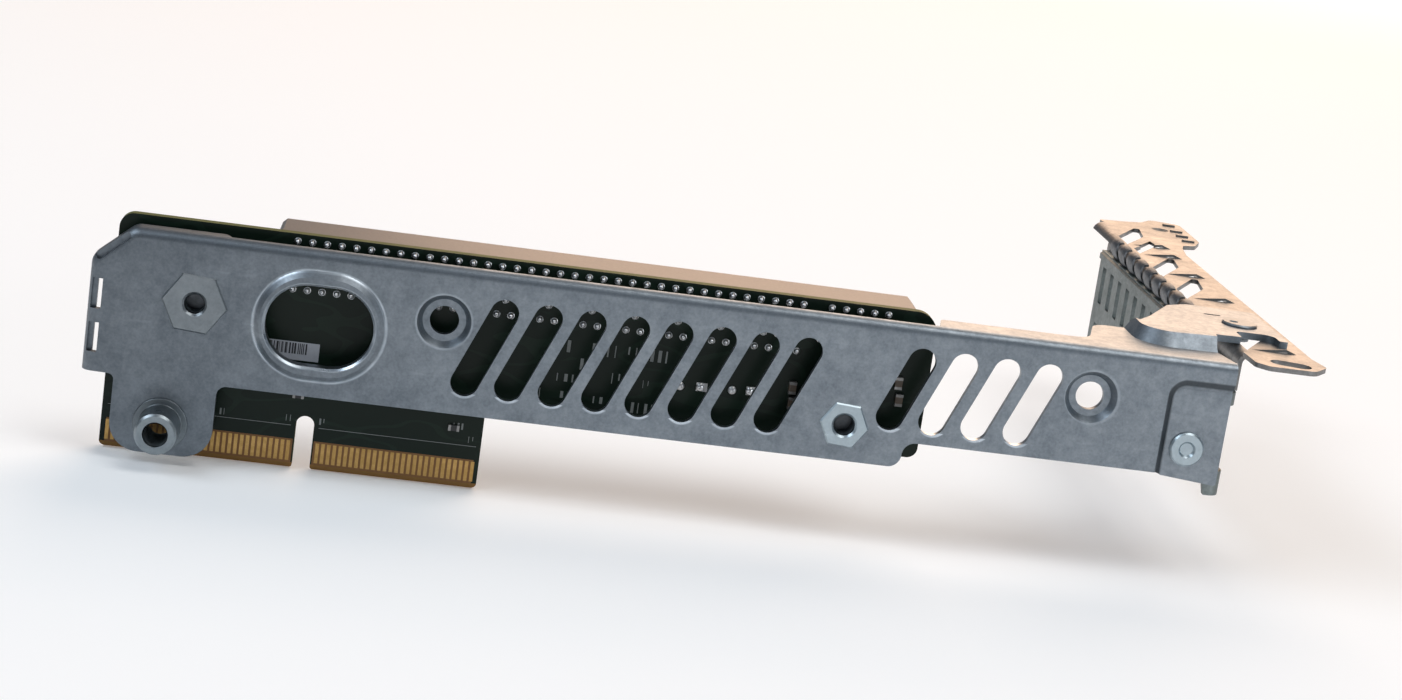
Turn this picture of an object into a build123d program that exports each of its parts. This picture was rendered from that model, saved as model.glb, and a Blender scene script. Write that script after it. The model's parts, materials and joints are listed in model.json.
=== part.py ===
from build123d import *
from math import atan2, cos, degrees, hypot, radians, sin, tan
import os

os.makedirs("parts", exist_ok=True)

# Frame: x runs along the side wall, y runs from the wall to the slot mouth, z is up.
# The origin is the middle of the key notch at the lower edge of the plug-in board.

# Shared clearances and stock thicknesses
SHEET = 1.0
BEND = 1.4
REAR_BEND = 1.8
INNER_BEND = 0.4
BOARD_T = 1.57
BOARD_BACK = BOARD_T / 2
BOARD_FRONT = -BOARD_T / 2
BOARD_GAP = 4.0
WALL_BACK = BOARD_FRONT - BOARD_GAP
WALL_FRONT = WALL_BACK - SHEET

# Plug-in board
BOARD_LEFT = -27.75
BOARD_TOP = 33.0
BOARD_LOW = 12.0
PLUG_RIGHT = 24.45
NOTCH_W = 2.5
NOTCH_TOP = 7.6
PLUG_BEVEL = 0.45
FINGER_PITCH = 0.8
FINGER_W = 0.5
FINGER_LOW = 0.6
FINGER_HIGH = 3.9
FINGER_T = 0.05
FINGER_FIRST = 2.0
LEFT_FINGERS = 32
RIGHT_FINGERS = 28
SCREW_HOLE_R = 1.65

# Card slot behind the board
CONTACT_FIRST = -3.75
CONTACT_PITCH = 1.0
LONG_CONTACTS = 71
SHORT_CONTACTS = 11
KEY_W = 1.6
KEY_STEP = 1.5
KEY_X = CONTACT_FIRST + (LONG_CONTACTS - 1) * CONTACT_PITCH + KEY_STEP
SHORT_FIRST = KEY_X + KEY_STEP
GROOVE_W = 2.3
GROOVE_LEFT = CONTACT_FIRST - 1.15
GROOVE_RIGHT = SHORT_FIRST + (SHORT_CONTACTS - 1) * CONTACT_PITCH + 1.35
GROOVE_DEEP = 7.9
SLOT_LEFT = GROOVE_LEFT - 1.85
SLOT_RIGHT = GROOVE_RIGHT + 2.7
SLOT_DEEP = 11.25
SLOT_Z = 28.65
SLOT_W = 7.5
CONTACT_W = 0.55
CONTACT_T = 0.3
CONTACT_LONG = 6.9
TAIL_ROWS = (3.35, 1.25)
SOLDER_R = 0.45
SOLDER_TIP_R = 0.22
SOLDER_H = 0.85
BOARD_RIGHT = SLOT_RIGHT + 2.05

# Side wall, seen from the front
WALL_LEFT = -30.5
WALL_BEYOND = 42.0
WALL_RIGHT = BOARD_RIGHT + WALL_BEYOND
WALL_TOP = 32.1
WALL_LOW = 11.7
WALL_HIGH_LOW = 15.4
CHAMFER_X = -25.15
CHAMFER_Z = 27.4
OUTER_ROUND = 2.0
TONGUE_LEFT = -26.05
TONGUE_RIGHT = -12.15
TONGUE_LOW = 1.2
STEP_X = BOARD_RIGHT - 3.05
STEP_ROUND = 1.8

# Depth of the bent rim behind the front face
RIM_SHORT = 1.4
RIM_LEFT = 3.0
RIM_RIGHT = 6.0
RIM_EAR = 16.5
RIM_LEFT_END = -13.1
RIM_RIGHT_START = BOARD_RIGHT + 0.15

# Rear bracket's inner face, set clear of the wall's end
REAR_GAP = 1.3
REAR_IN = WALL_RIGHT + REAR_GAP

# Raised plate on the rim, resting on the rear flange
PLATE_RISE = 1.9
PLATE_LAP = 8.6
PLATE_WIDE = 22.7
PLATE_RIGHT = REAR_IN + PLATE_LAP
PLATE_FOOT = PLATE_RIGHT - PLATE_WIDE
PLATE_NEAR = 0.8
PLATE_FAR = 24.9
JOGGLE_FOOT_R = 5.0
JOGGLE_TOP_R = 4.2
PLATE_TOP = WALL_TOP + PLATE_RISE
REAR_TOP = PLATE_TOP - SHEET

# Joggled corner that takes the side rivet
RECESS = 1.0
RECESS_WIDE = 9.3
RECESS_DROP = 3.0
RECESS_RIGHT = WALL_RIGHT + 0.1
RECESS_LEFT = RECESS_RIGHT - RECESS_WIDE
RECESS_TOP = WALL_TOP - RECESS_DROP
RECESS_SLOPE = 0.9
RIVET_X = RECESS_LEFT + 4.2
RIVET_Z = WALL_HIGH_LOW + 3.65
TAB_LEFT = RECESS_LEFT + 2.05

# Oval window with its rolled rim
OVAL_X, OVAL_Z = 0.63, 21.6
OVAL_W, OVAL_H = 14.66, 11.2
OVAL_RIM_W, OVAL_RIM_H = 18.0, 15.3
OVAL_RISE = 0.7

# Pressed dimples with a hole
DIMPLES = ((17.24, 24.41), (WALL_RIGHT - 19.94, 25.0))
DIMPLE_R = 3.7
DIMPLE_FLOOR_R = 2.95
DIMPLE_HOLE_R = 2.0
DIMPLE_DEPTH = 1.1

# Slanted vent slots
VENT_W = 3.9
VENT_PITCH = 6.0
LONG_VENT_TOP = (25.24, 26.55)
LONG_VENT_RUN = (-4.25, -10.2)
LONG_VENT_SPAN = BOARD_RIGHT - 11.5 - LONG_VENT_TOP[0]
LONG_VENT_COUNT = int(LONG_VENT_SPAN / VENT_PITCH)
SHORT_VENT_COUNT = 4
SHORT_VENT_TOP = (BOARD_RIGHT - 2.25, 27.0)
SHORT_VENT_RUN = (-3.3, -8.2)

# Clinched hexagonal standoffs: x, z, corner radius, bore radius, barrel radius
LEFT_HEX = (-16.28, 22.68, 4.5, 1.4, 2.9)
RIGHT_HEX = (BOARD_RIGHT - 11.66, 16.8, 3.5, 1.5, 2.5)
HEX_PROUD = 0.25
HEX_HEAD = 1.15
HEX_TILT = -4.0

# Guide standoff on the tongue
GUIDE_X, GUIDE_Z = -19.25, 5.4
GUIDE_R = 2.85
GUIDE_BORE = 1.7
GUIDE_SHANK_R = 2.3
GUIDE_LONG = 5.6
GUIDE_RING_R = 3.7
GUIDE_RING = 0.35

# Label and small parts on the front of the board
LABEL_X = (-13.5, 0.8)
LABEL_Z = (15.4, 17.95)
LABEL_T = 0.08
CAPACITOR_SIZE = (1.7, 0.8, 1.0)
CAPACITORS = ((18.95, 20.1), (18.75, 17.9), (4.25, 22.6), (3.85, 20.2))
RESISTOR_SIZE = (1.5, 0.45, 0.8)

# Rear bracket with its perforated top flange
REAR_T = 0.7
REAR_OUT = REAR_IN + REAR_T
REAR_NEAR = -0.3
REAR_FAR = 85.2
REAR_LOW = 27.3
PANEL_LOW = 12.5
LIP_FAR = 98.0
LIP_DROP = 1.3
FLANGE_WIDE = 10.75
FLANGE_EDGE = REAR_IN + FLANGE_WIDE
WINDOWS = ((78.0, 1.55), (51.4, 1.25), (35.2, 1.25), (1.4, 1.55))
WINDOW_LONG = 17.2
SHORT_WINDOW = 70.2
LOUVER_MOUTHS = ((2.1, 3.1), (36.0, 15.0), (54.3, 15.0), (69.8, 7.9), (78.1, 14.0))
TONGUE_SLOT_W = 3.3
LOUVER_LEFT = REAR_IN + 1.95
LOUVER_RIGHT = FLANGE_EDGE - 1.6
LOUVER_CREST = LOUVER_RIGHT - 1.7
LOUVER_RISE = 0.55
LOUVER_SKIN = 0.3
TOP_RIVET_X = REAR_IN + 3.6
TOP_RIVET_Y = 14.0

# Perforated inner panel
PANEL_TOP = 30.45
PANEL_FAR = 84.2
PANEL_VENTS = 13
PANEL_VENT_PITCH = 5.8
PANEL_VENT_FIRST = 80.2
PANEL_VENT_W = 2.4
PANEL_VENT_ROWS = ((24.9, 6.2), (16.1, 4.6))

# Spring contact strip along the inner top edge
STRIP_T = 0.3
STRIP_FIRST = 25.7
STRIP_PITCH = 6.0
STRIP_FINGERS = 9
STRIP_FINGER_W = 4.4
STRIP_R = 1.7

# Fasteners
RIVET_R = 1.25
RIVET_HEAD_R = 2.45
RIVET_HEAD = 0.5
RIVET_TAIL_R = 2.0
SCREW_HEAD_R = 2.7
SCREW_HEAD = 1.6
SCREW_REACH = 2.6
SCREW_PLAY = 0.05


def rounded(corners):
    """closed flat face through corners given as x, y and corner radius"""
    spots = []
    count = len(corners)
    for i, (x, y, radius) in enumerate(corners):
        here = Vector(x, y)
        before = Vector(*corners[i - 1][:2]) - here
        after = Vector(*corners[(i + 1) % count][:2]) - here
        if radius == 0:
            spots.append((here,))
            continue
        u, v = before.normalized(), after.normalized()
        half = radians(u.get_angle(v)) / 2
        reach = radius / tan(half)
        middle = here + (u + v).normalized() * (radius / sin(half) - radius)
        spots.append((here + u * reach, middle, here + v * reach))
    edges = []
    for i, spot in enumerate(spots):
        if len(spot) == 3:
            edges.append(ThreePointArc(*spot))
        edges.append(Line(spot[-1], spots[(i + 1) % count][0]))
    return make_face(edges)


def slab(shape, near, far):
    """flat shape drawn in x and z, filled from y = near to y = far"""
    plane = Plane(origin=(0, far, 0), x_dir=(1, 0, 0), z_dir=(0, -1, 0))
    return extrude(plane * shape, amount=far - near, dir=(0, -1, 0))


def plate(shape, low, high):
    """flat shape drawn in x and y, filled from z = low to z = high"""
    return extrude(Pos(0, 0, low) * shape, amount=high - low, dir=(0, 0, 1))


def side(shape, left, right):
    """flat shape drawn in y and z, filled from x = left to x = right"""
    plane = Plane(origin=(left, 0, 0), x_dir=(0, 1, 0), z_dir=(1, 0, 0))
    return extrude(plane * shape, amount=right - left, dir=(1, 0, 0))


def block(left, right, near, far, low, high):
    """plain box between six faces"""
    middle = ((left + right) / 2, (near + far) / 2, (low + high) / 2)
    return Pos(*middle) * Box(right - left, far - near, high - low)


def rod(x, z, radius, near, far, tip=None):
    """round bar or cone along y, with its own radius at the near end"""
    near_radius = radius if tip is None else tip
    bar = Cylinder(radius, far - near) if tip is None else Cone(near_radius, radius, far - near)
    return Pos(x, (near + far) / 2, z) * Rot(-90, 0, 0) * bar


def drawn(near_shape, near, far_shape, far):
    """body that changes from one x and z outline to another along y"""
    faces = []
    for shape, y in ((near_shape, near), (far_shape, far)):
        plane = Plane(origin=(0, y, 0), x_dir=(1, 0, 0), z_dir=(0, -1, 0))
        faces.append((plane * shape).face())
    return loft(faces, ruled=True)


def tapered(shape, start, rise, slope):
    """body that stands forward from y = start and narrows by slope degrees"""
    plane = Plane(origin=(0, start, 0), x_dir=(1, 0, 0), z_dir=(0, -1, 0))
    return extrude(plane * shape, amount=rise, dir=(0, -1, 0), taper=slope)


def tent(left, crest, right, mouth, far, base, top):
    """four-cornered body with its ridge falling from the mouth to a point"""
    low_left, low_right = (left, mouth, base), (right, mouth, base)
    peak, tip = (crest, mouth, top), (crest, far, base)
    sides = ((low_left, low_right, peak), (low_left, peak, tip),
             (low_right, tip, peak), (low_left, tip, low_right))
    return Solid(Shell([Face(Wire.make_polygon(corners, close=True)) for corners in sides]))


def stadium(x, z, wide, high, turn=0):
    return Pos(x, z) * SlotOverall(wide, high, rotation=turn)


def slanted_slot(top, run):
    """long round-ended slot from its upper centre, in x and z"""
    middle = (top[0] + run[0] / 2, top[1] + run[1] / 2)
    turn = degrees(atan2(run[1], run[0]))
    return Pos(*middle) * SlotCenterToCenter(hypot(*run), VENT_W, rotation=turn)


def vents():
    """all slanted slots of the side wall"""
    long_group = (LONG_VENT_COUNT, LONG_VENT_TOP, LONG_VENT_RUN)
    short_group = (SHORT_VENT_COUNT, SHORT_VENT_TOP, SHORT_VENT_RUN)
    for count, top, run in (long_group, short_group):
        for i in range(count):
            yield slanted_slot((top[0] + i * VENT_PITCH, top[1]), run)


def wall_outline():
    """true lower and right edges of the wall, with the bent edges left generous"""
    beyond = 8
    return rounded([
        (WALL_LEFT - beyond, WALL_LOW + 0.2, 0),
        (TONGUE_LEFT - 1.0, WALL_LOW, 0.3),
        (TONGUE_LEFT, WALL_LOW - 0.1, 0.8),
        (TONGUE_LEFT, TONGUE_LOW, 4.0),
        (TONGUE_RIGHT, TONGUE_LOW, 4.0),
        (TONGUE_RIGHT, WALL_LOW, 1.3),
        (STEP_X, WALL_LOW, STEP_ROUND),
        (STEP_X, WALL_HIGH_LOW, STEP_ROUND),
        (RECESS_LEFT + 0.2, WALL_HIGH_LOW, 0.2),
        (RECESS_LEFT + 1.2, WALL_HIGH_LOW - 0.5, 0.2),
        (RECESS_RIGHT, WALL_HIGH_LOW - 1.2, 0.4),
        (RECESS_RIGHT, RECESS_TOP - 1.4, 0),
        (WALL_RIGHT, RECESS_TOP - 1.3, 0),
        (WALL_RIGHT, WALL_TOP + beyond, 0),
        (WALL_LEFT - beyond, WALL_TOP + beyond, 0),
    ])


def rim_plan():
    """plan outline of the right rim and the raised plate together"""
    ear = WALL_FRONT + RIM_EAR
    deep = WALL_FRONT + RIM_RIGHT
    return rounded([
        (RIM_RIGHT_START - 0.6, WALL_FRONT - 2, 0),
        (WALL_RIGHT + 0.3, WALL_FRONT - 2, 0),
        (WALL_RIGHT - 0.1, WALL_BACK, 0),
        (WALL_RIGHT - 1.35, 1.7, 0),
        (WALL_RIGHT - 1.0, 4.9, 0),
        (PLATE_RIGHT - 7.0, 5.1, 0.3),
        (PLATE_RIGHT - 7.0, 8.9, 1.0),
        (PLATE_RIGHT - 1.3, 8.9, 1.5),
        (PLATE_RIGHT - 1.3, 5.4, 0.3),
        (PLATE_RIGHT, 5.4, 0.3),
        (PLATE_RIGHT, PLATE_FAR - 0.4, 0.3),
        (PLATE_RIGHT - 10.4, PLATE_FAR, 2),
        (PLATE_RIGHT - 13.9, PLATE_FAR - 2.6, 2),
        (PLATE_FOOT + 3.9, PLATE_FAR - 12.5, 2),
        (PLATE_FOOT + 1.45, 8.6, 0.3),
        (PLATE_FOOT + 0.55, ear, 0.5),
        (PLATE_FOOT - 4.65, ear, 3),
        (PLATE_FOOT - 7.35, deep, 3),
        (RIM_RIGHT_START + 0.3, deep, 0.8),
        (RIM_RIGHT_START - 0.6, WALL_FRONT + RIM_SHORT - 0.3, 0),
    ])


def joggle_foot():
    left, near = PLATE_FOOT, PLATE_NEAR
    right, far = PLATE_RIGHT + 9, PLATE_FAR + 9
    return rounded([(left, near, JOGGLE_FOOT_R), (right, near + 1.1, 0), (right, far, 0), (left, far, 0)])


def joggle_top():
    left, near = PLATE_FOOT + 1.05, PLATE_NEAR + 1.3
    right, far = PLATE_RIGHT + 9, PLATE_FAR + 9
    return rounded([(left, near, JOGGLE_TOP_R), (right, near + 4.2, 0), (right, far, 0), (left, far, 0)])


def folded_rim():
    """wall and its bent rim as one deep tray, then trimmed to the true edges"""
    beyond = 12
    outline = rounded([
        (WALL_LEFT, TONGUE_LOW - beyond, 3),
        (WALL_LEFT, CHAMFER_Z, OUTER_ROUND),
        (CHAMFER_X, WALL_TOP, OUTER_ROUND),
        (WALL_RIGHT + beyond, WALL_TOP, 3),
        (WALL_RIGHT + beyond, TONGUE_LOW - beyond, 3),
    ])
    outer = slab(outline, WALL_FRONT, 20)
    outer = fillet(outer.edges().group_by(Axis.Y)[0], BEND)
    inner = slab(offset(outline, -SHEET), WALL_BACK, 21)
    inner = fillet(inner.edges().group_by(Axis.Y)[0], INNER_BEND)
    short = block(-40, 140, WALL_FRONT - 2, WALL_FRONT + RIM_SHORT, -8, 40)
    left_plan = rounded([
        (-40, WALL_FRONT - 2, 0),
        (RIM_LEFT_END + 0.9, WALL_FRONT - 2, 0),
        (RIM_LEFT_END + 0.9, WALL_FRONT + RIM_SHORT - 0.2, 0),
        (RIM_LEFT_END, WALL_FRONT + RIM_LEFT, 0.8),
        (-40, WALL_FRONT + RIM_LEFT, 0),
    ])
    left = plate(left_plan, -8, 40)
    right = plate(rim_plan() - joggle_foot(), WALL_TOP - 4, 40)
    keep = short.fuse(left, right) & slab(wall_outline(), WALL_FRONT - 4, 30)
    return (outer - inner) & keep


def raised_plate():
    """joggle up from the rim and the plate that lies on the rear flange"""
    foot, top = joggle_foot(), joggle_top()

    def hill(drop):
        low, high = WALL_TOP - drop, PLATE_TOP - drop
        return loft([(Pos(0, 0, low) * foot).face(), (Pos(0, 0, high) * top).face()], ruled=True)

    solid = plate(foot, WALL_TOP - SHEET, WALL_TOP).fuse(hill(0))
    sheet = solid - hill(SHEET)
    mark = Pos(REAR_IN + 0.85, PLATE_FAR - 5.7) * SlotOverall(2.6, 0.7)
    return (sheet & plate(rim_plan(), WALL_TOP - 4, 40)) - plate(mark, 30, 40)


def recess_shapes():
    """outer and inner outlines of the joggled corner, open to the right and below"""
    far, low = 140, 5
    outer = rounded([
        (RECESS_LEFT, low, 0),
        (far, low, 0),
        (far, RECESS_TOP + 0.1, 0),
        (RECESS_LEFT, RECESS_TOP, 2.4),
    ])
    inner = rounded([
        (RECESS_LEFT + RECESS_SLOPE, low, 0),
        (far, low, 0),
        (far, RECESS_TOP - RECESS_SLOPE - 0.4, 0),
        (RECESS_LEFT + RECESS_SLOPE, RECESS_TOP - RECESS_SLOPE - 0.6, 1.6),
    ])
    return outer, inner


def add_recess(sheet):
    outer, inner = recess_shapes()
    behind = drawn(outer, WALL_BACK, inner, WALL_BACK + RECESS)
    trim = slab(wall_outline(), WALL_FRONT - 4, 30)
    limit = block(100, WALL_RIGHT + 1, WALL_FRONT - 1, WALL_FRONT + 3, 0, WALL_TOP - SHEET)
    front = drawn(outer, WALL_FRONT, inner, WALL_FRONT + RECESS)
    lead = slab(outer, WALL_FRONT - 2, WALL_FRONT)
    lead &= block(100, WALL_RIGHT + 9, WALL_FRONT - 3, WALL_FRONT, 0, RECESS_TOP)
    return sheet.fuse(behind & trim & limit) - front


def add_dimples(sheet):
    """two pressed dimples, each with a hole in its floor"""
    for x, z in DIMPLES:
        bump = rod(x, z, DIMPLE_FLOOR_R + 0.35, WALL_BACK, WALL_BACK + DIMPLE_DEPTH, DIMPLE_R + 0.1)
        bowl = rod(x, z, DIMPLE_FLOOR_R, WALL_FRONT, WALL_FRONT + DIMPLE_DEPTH, DIMPLE_R)
        hole = rod(x, z, DIMPLE_HOLE_R, WALL_FRONT - 1, WALL_BACK + 3)
        sheet = sheet.fuse(bump) - bowl - hole
    return sheet


def add_oval(sheet):
    """oval window with a raised rim that rolls back into the hole"""
    def ring(grow):
        return stadium(OVAL_X, OVAL_Z, OVAL_W + grow, OVAL_H + grow)

    crest = WALL_FRONT - OVAL_RISE
    rim = stadium(OVAL_X, OVAL_Z, OVAL_RIM_W, OVAL_RIM_H)
    hill = tapered(rim, WALL_FRONT, OVAL_RISE, 50)
    collar = slab(ring(1.1), crest, WALL_BACK + 0.3)
    hollow = tapered(ring(2.6), WALL_BACK, OVAL_RISE, 40)
    sheet = (sheet.fuse(hill) - hollow).fuse(collar)
    sheet -= slab(ring(0), crest - 1, WALL_BACK + 2)
    lip = sheet.edges().filter_by(lambda e: abs(e.center().Y - crest) < 0.01)
    mouth = lip.filter_by(lambda e: abs((e @ 0.5).X - OVAL_X) < OVAL_W / 2 + 0.1)
    mouth = mouth.filter_by(lambda e: abs((e @ 0.5).Z - OVAL_Z) < OVAL_H / 2 + 0.1)
    return chamfer(mouth, 0.3)


def hexagon(spec, grow=0.0):
    x, z, radius = spec[:3]
    return Pos(x, z) * RegularPolygon(radius + grow, 6, rotation=HEX_TILT)


def rim_slots():
    """three narrow slots cut from the front into the bent corner"""
    near, far = WALL_FRONT - 0.2, WALL_BACK + 0.1
    left = WALL_LEFT + 0.45
    slots = [
        block(left, WALL_LEFT + 1.85, near, far, 20.4, 24.6),
        block(left, WALL_LEFT + 1.85, near, far, 14.4, 18.5),
    ]
    slope = degrees(atan2(WALL_TOP - CHAMFER_Z, CHAMFER_X - WALL_LEFT))
    diagonal = Pos(-27.75, 29.2) * SlotOverall(5.6, 1.0, rotation=slope)
    return slots + [slab(diagonal, near, far)]


def side_bracket():
    """folded side sheet: wall, wrapped rim, joggles, windows and holes in one piece"""
    sheet = folded_rim().fuse(raised_plate())
    sheet = add_recess(sheet)
    sheet = add_oval(sheet)
    sheet = add_dimples(sheet)
    cuts = [slab(shape, WALL_FRONT - 2, WALL_BACK + 2) for shape in vents()]
    cuts += [slab(hexagon(h), WALL_FRONT - 2, WALL_BACK + 2) for h in (LEFT_HEX, RIGHT_HEX)]
    cuts += rim_slots()
    cuts.append(rod(GUIDE_X, GUIDE_Z, GUIDE_SHANK_R, WALL_FRONT - 1, WALL_BACK + 1))
    cuts.append(rod(RIVET_X, RIVET_Z, RIVET_R, WALL_FRONT - 1, WALL_BACK + 3))
    cuts.append(Pos(TOP_RIVET_X, TOP_RIVET_Y, PLATE_TOP) * Cylinder(RIVET_R, 4))
    return sheet.cut(*cuts)


def hex_standoff(spec):
    """clinched standoff with a hexagonal head in the wall and a barrel up to the board"""
    x, z, radius, bore, barrel = spec
    near = WALL_FRONT - HEX_PROUD
    head = slab(hexagon(spec), near, near + HEX_HEAD)
    rim = head.edges().group_by(Axis.Y)[0]
    head = chamfer(rim, 0.2)
    body = head.fuse(rod(x, z, barrel, near + HEX_HEAD, BOARD_FRONT))
    mouth = rod(x, z, bore, near, near + 0.3, bore + 0.3)
    return body - rod(x, z, bore, near - 1, BOARD_FRONT + 1) - mouth


def guide_standoff():
    """round standoff that stands forward of the tongue"""
    x, z = GUIDE_X, GUIDE_Z
    tip = WALL_FRONT - GUIDE_LONG
    tube = rod(x, z, GUIDE_R, tip, WALL_FRONT)
    tube = chamfer(tube.edges().group_by(Axis.Y)[0], 0.3)
    ring = rod(x, z, GUIDE_RING_R, WALL_FRONT - GUIDE_RING, WALL_FRONT)
    shank = rod(x, z, GUIDE_SHANK_R, WALL_FRONT, WALL_BACK)
    return tube.fuse(ring, shank) - rod(x, z, GUIDE_BORE, tip - 1, WALL_BACK + 1)


def board_outline():
    return rounded([
        (BOARD_LEFT, 0, 0.8),
        (-NOTCH_W / 2, 0, 0.4),
        (-NOTCH_W / 2, NOTCH_TOP, NOTCH_W / 2 - 0.01),
        (NOTCH_W / 2, NOTCH_TOP, NOTCH_W / 2 - 0.01),
        (NOTCH_W / 2, 0, 0.4),
        (PLUG_RIGHT, 0, 0.8),
        (PLUG_RIGHT, BOARD_LOW, 0.5),
        (BOARD_RIGHT, BOARD_LOW, 1.5),
        (BOARD_RIGHT, BOARD_TOP, 3),
        (BOARD_LEFT, BOARD_TOP, 2),
    ])


def riser_board():
    """plug-in board with a bevelled plug edge and its key notch"""
    board = slab(board_outline(), BOARD_FRONT, BOARD_BACK)
    for facing in (-1, 1):
        edge = facing * BOARD_T / 2
        wedge = Polygon((edge, -0.1), (edge, 1.6 * PLUG_BEVEL), (edge - facing * PLUG_BEVEL, -0.1), align=None)
        board -= side(wedge, BOARD_LEFT - 1, PLUG_RIGHT + 1)
    for x, z, *_ in (LEFT_HEX, RIGHT_HEX):
        board -= rod(x, z, SCREW_HOLE_R, BOARD_FRONT - 1, BOARD_BACK + 1)
    return board


def finger_places():
    for i in range(LEFT_FINGERS):
        yield -FINGER_FIRST - i * FINGER_PITCH
    for i in range(RIGHT_FINGERS):
        yield FINGER_FIRST + i * FINGER_PITCH


def fingers(near, far):
    """row of thin contact pads on one face of the plug"""
    half = FINGER_W / 2
    low = FINGER_LOW + 1.0 * PLUG_BEVEL
    return Compound([block(x - half, x + half, near, far, low, FINGER_HIGH) for x in finger_places()])


def contact_places():
    """x of every slot contact, with its number counted from the left"""
    for i in range(LONG_CONTACTS):
        yield i, CONTACT_FIRST + i * CONTACT_PITCH
    for i in range(SHORT_CONTACTS):
        yield i + 1, SHORT_FIRST + i * CONTACT_PITCH


def slot_housing():
    """long card slot with a keyed groove and end shoulders"""
    mouth = BOARD_BACK + SLOT_DEEP
    low, high = SLOT_Z - SLOT_W / 2, SLOT_Z + SLOT_W / 2
    body = block(SLOT_LEFT, SLOT_RIGHT, BOARD_BACK, mouth, low, high)
    body = chamfer(body.edges().filter_by(Axis.Y), 0.6)
    floor = mouth - GROOVE_DEEP
    half = GROOVE_W / 2
    for left, right in ((GROOVE_LEFT, KEY_X - KEY_W / 2), (KEY_X + KEY_W / 2, GROOVE_RIGHT)):
        body -= block(left, right, floor, mouth + 1, SLOT_Z - half, SLOT_Z + half)
        flare = Polygon((mouth + 0.01, -half - 0.6), (mouth + 0.01, half + 0.6),
                        (mouth - 0.8, half), (mouth - 0.8, -half), align=None)
        body -= Pos(0, 0, SLOT_Z) * side(flare, left, right)
    return body


def slot_contacts(facing):
    """row of spring contacts along one side of the groove"""
    floor = BOARD_BACK + SLOT_DEEP - GROOVE_DEEP
    outer = SLOT_Z + facing * GROOVE_W / 2
    inner = outer - facing * CONTACT_T
    low, high = min(outer, inner), max(outer, inner)
    half = CONTACT_W / 2
    far = floor + CONTACT_LONG
    return Compound([block(x - half, x + half, floor, far, low, high) for _, x in contact_places()])


def solder_joints():
    """small tapered solder joints on the front of the board, four to a pair of contacts"""
    joints = []
    for number, x in contact_places():
        row = TAIL_ROWS[number % 2]
        for z in (SLOT_Z + row, SLOT_Z - row):
            wide, tip = 2 * SOLDER_R, SOLDER_R - SOLDER_TIP_R
            joint = Wedge(wide, SOLDER_H, wide, tip, tip, wide - tip, wide - tip)
            joints.append(Pos(x, BOARD_FRONT - SOLDER_H / 2, z) * Rot(180, 0, 0) * joint)
    return Compound(joints)


def flange_plan():
    return rounded([
        (REAR_IN + REAR_BEND + 0.1, REAR_NEAR, 0),
        (REAR_IN + 0.5, REAR_NEAR, 0.2),
        (REAR_IN + 0.75, REAR_NEAR - 6.0, 1.2),
        (REAR_IN + 2.35, REAR_NEAR - 7.7, 1.0),
        (FLANGE_EDGE - 1.8, REAR_NEAR - 7.7, 2),
        (FLANGE_EDGE + 0.8, REAR_NEAR - 4.1, 1.5),
        (FLANGE_EDGE, 0.5, 2),
        (FLANGE_EDGE + 0.1, LIP_FAR - 23.9, 8),
        (FLANGE_EDGE + 0.95, LIP_FAR - 17.6, 2),
        (FLANGE_EDGE + 1.8, LIP_FAR - 14.6, 1.2),
        (FLANGE_EDGE + 4.2, LIP_FAR - 13.4, 1.5),
        (FLANGE_EDGE + 6.1, LIP_FAR - 8.8, 2),
        (FLANGE_EDGE + 6.4, LIP_FAR + 7.2, 1.2),
        (FLANGE_EDGE + 1.4, LIP_FAR + 8.6, 1.5),
        (FLANGE_EDGE - 1.2, LIP_FAR + 4.8, 1.5),
        (FLANGE_EDGE - 4.75, LIP_FAR + 3.4, 2),
        (REAR_IN + 1.35, LIP_FAR + 2.4, 0.8),
        (REAR_IN + REAR_BEND + 0.1, LIP_FAR, 0),
    ])


def windows():
    """slanted windows of the rear flange, in x and y, the short one next to the far one"""
    short = REAR_IN + 1.85
    yield rounded([
        (short, SHORT_WINDOW, 0),
        (short + 4.5, SHORT_WINDOW + 8.4, 0),
        (short + 4.5, SHORT_WINDOW + 12.0, 0),
        (short, SHORT_WINDOW + 4.4, 0),
    ])
    for low, inset in WINDOWS:
        left = REAR_IN + inset
        yield rounded([
            (left, low, 0),
            (left + 4.9, low + 9.3, 1.0),
            (left + 6.0, low + WINDOW_LONG, 0.45),
            (left + 5.0, low + WINDOW_LONG, 0.45),
            (left, low + 7.1, 0.8),
        ])


def louver(mouth, reach):
    """arched tongue that stands highest at its mouth and fades into the flange"""
    hill = tent(LOUVER_LEFT, LOUVER_CREST, LOUVER_RIGHT, mouth, mouth + reach,
                REAR_TOP - 0.05, REAR_TOP + LOUVER_RISE)
    hollow = tent(LOUVER_LEFT + 0.3, LOUVER_CREST, LOUVER_RIGHT - 0.3, mouth - 0.01, mouth + reach,
                  REAR_TOP - REAR_T - 0.1, REAR_TOP + LOUVER_RISE - LOUVER_SKIN)
    return hill, hollow


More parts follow.
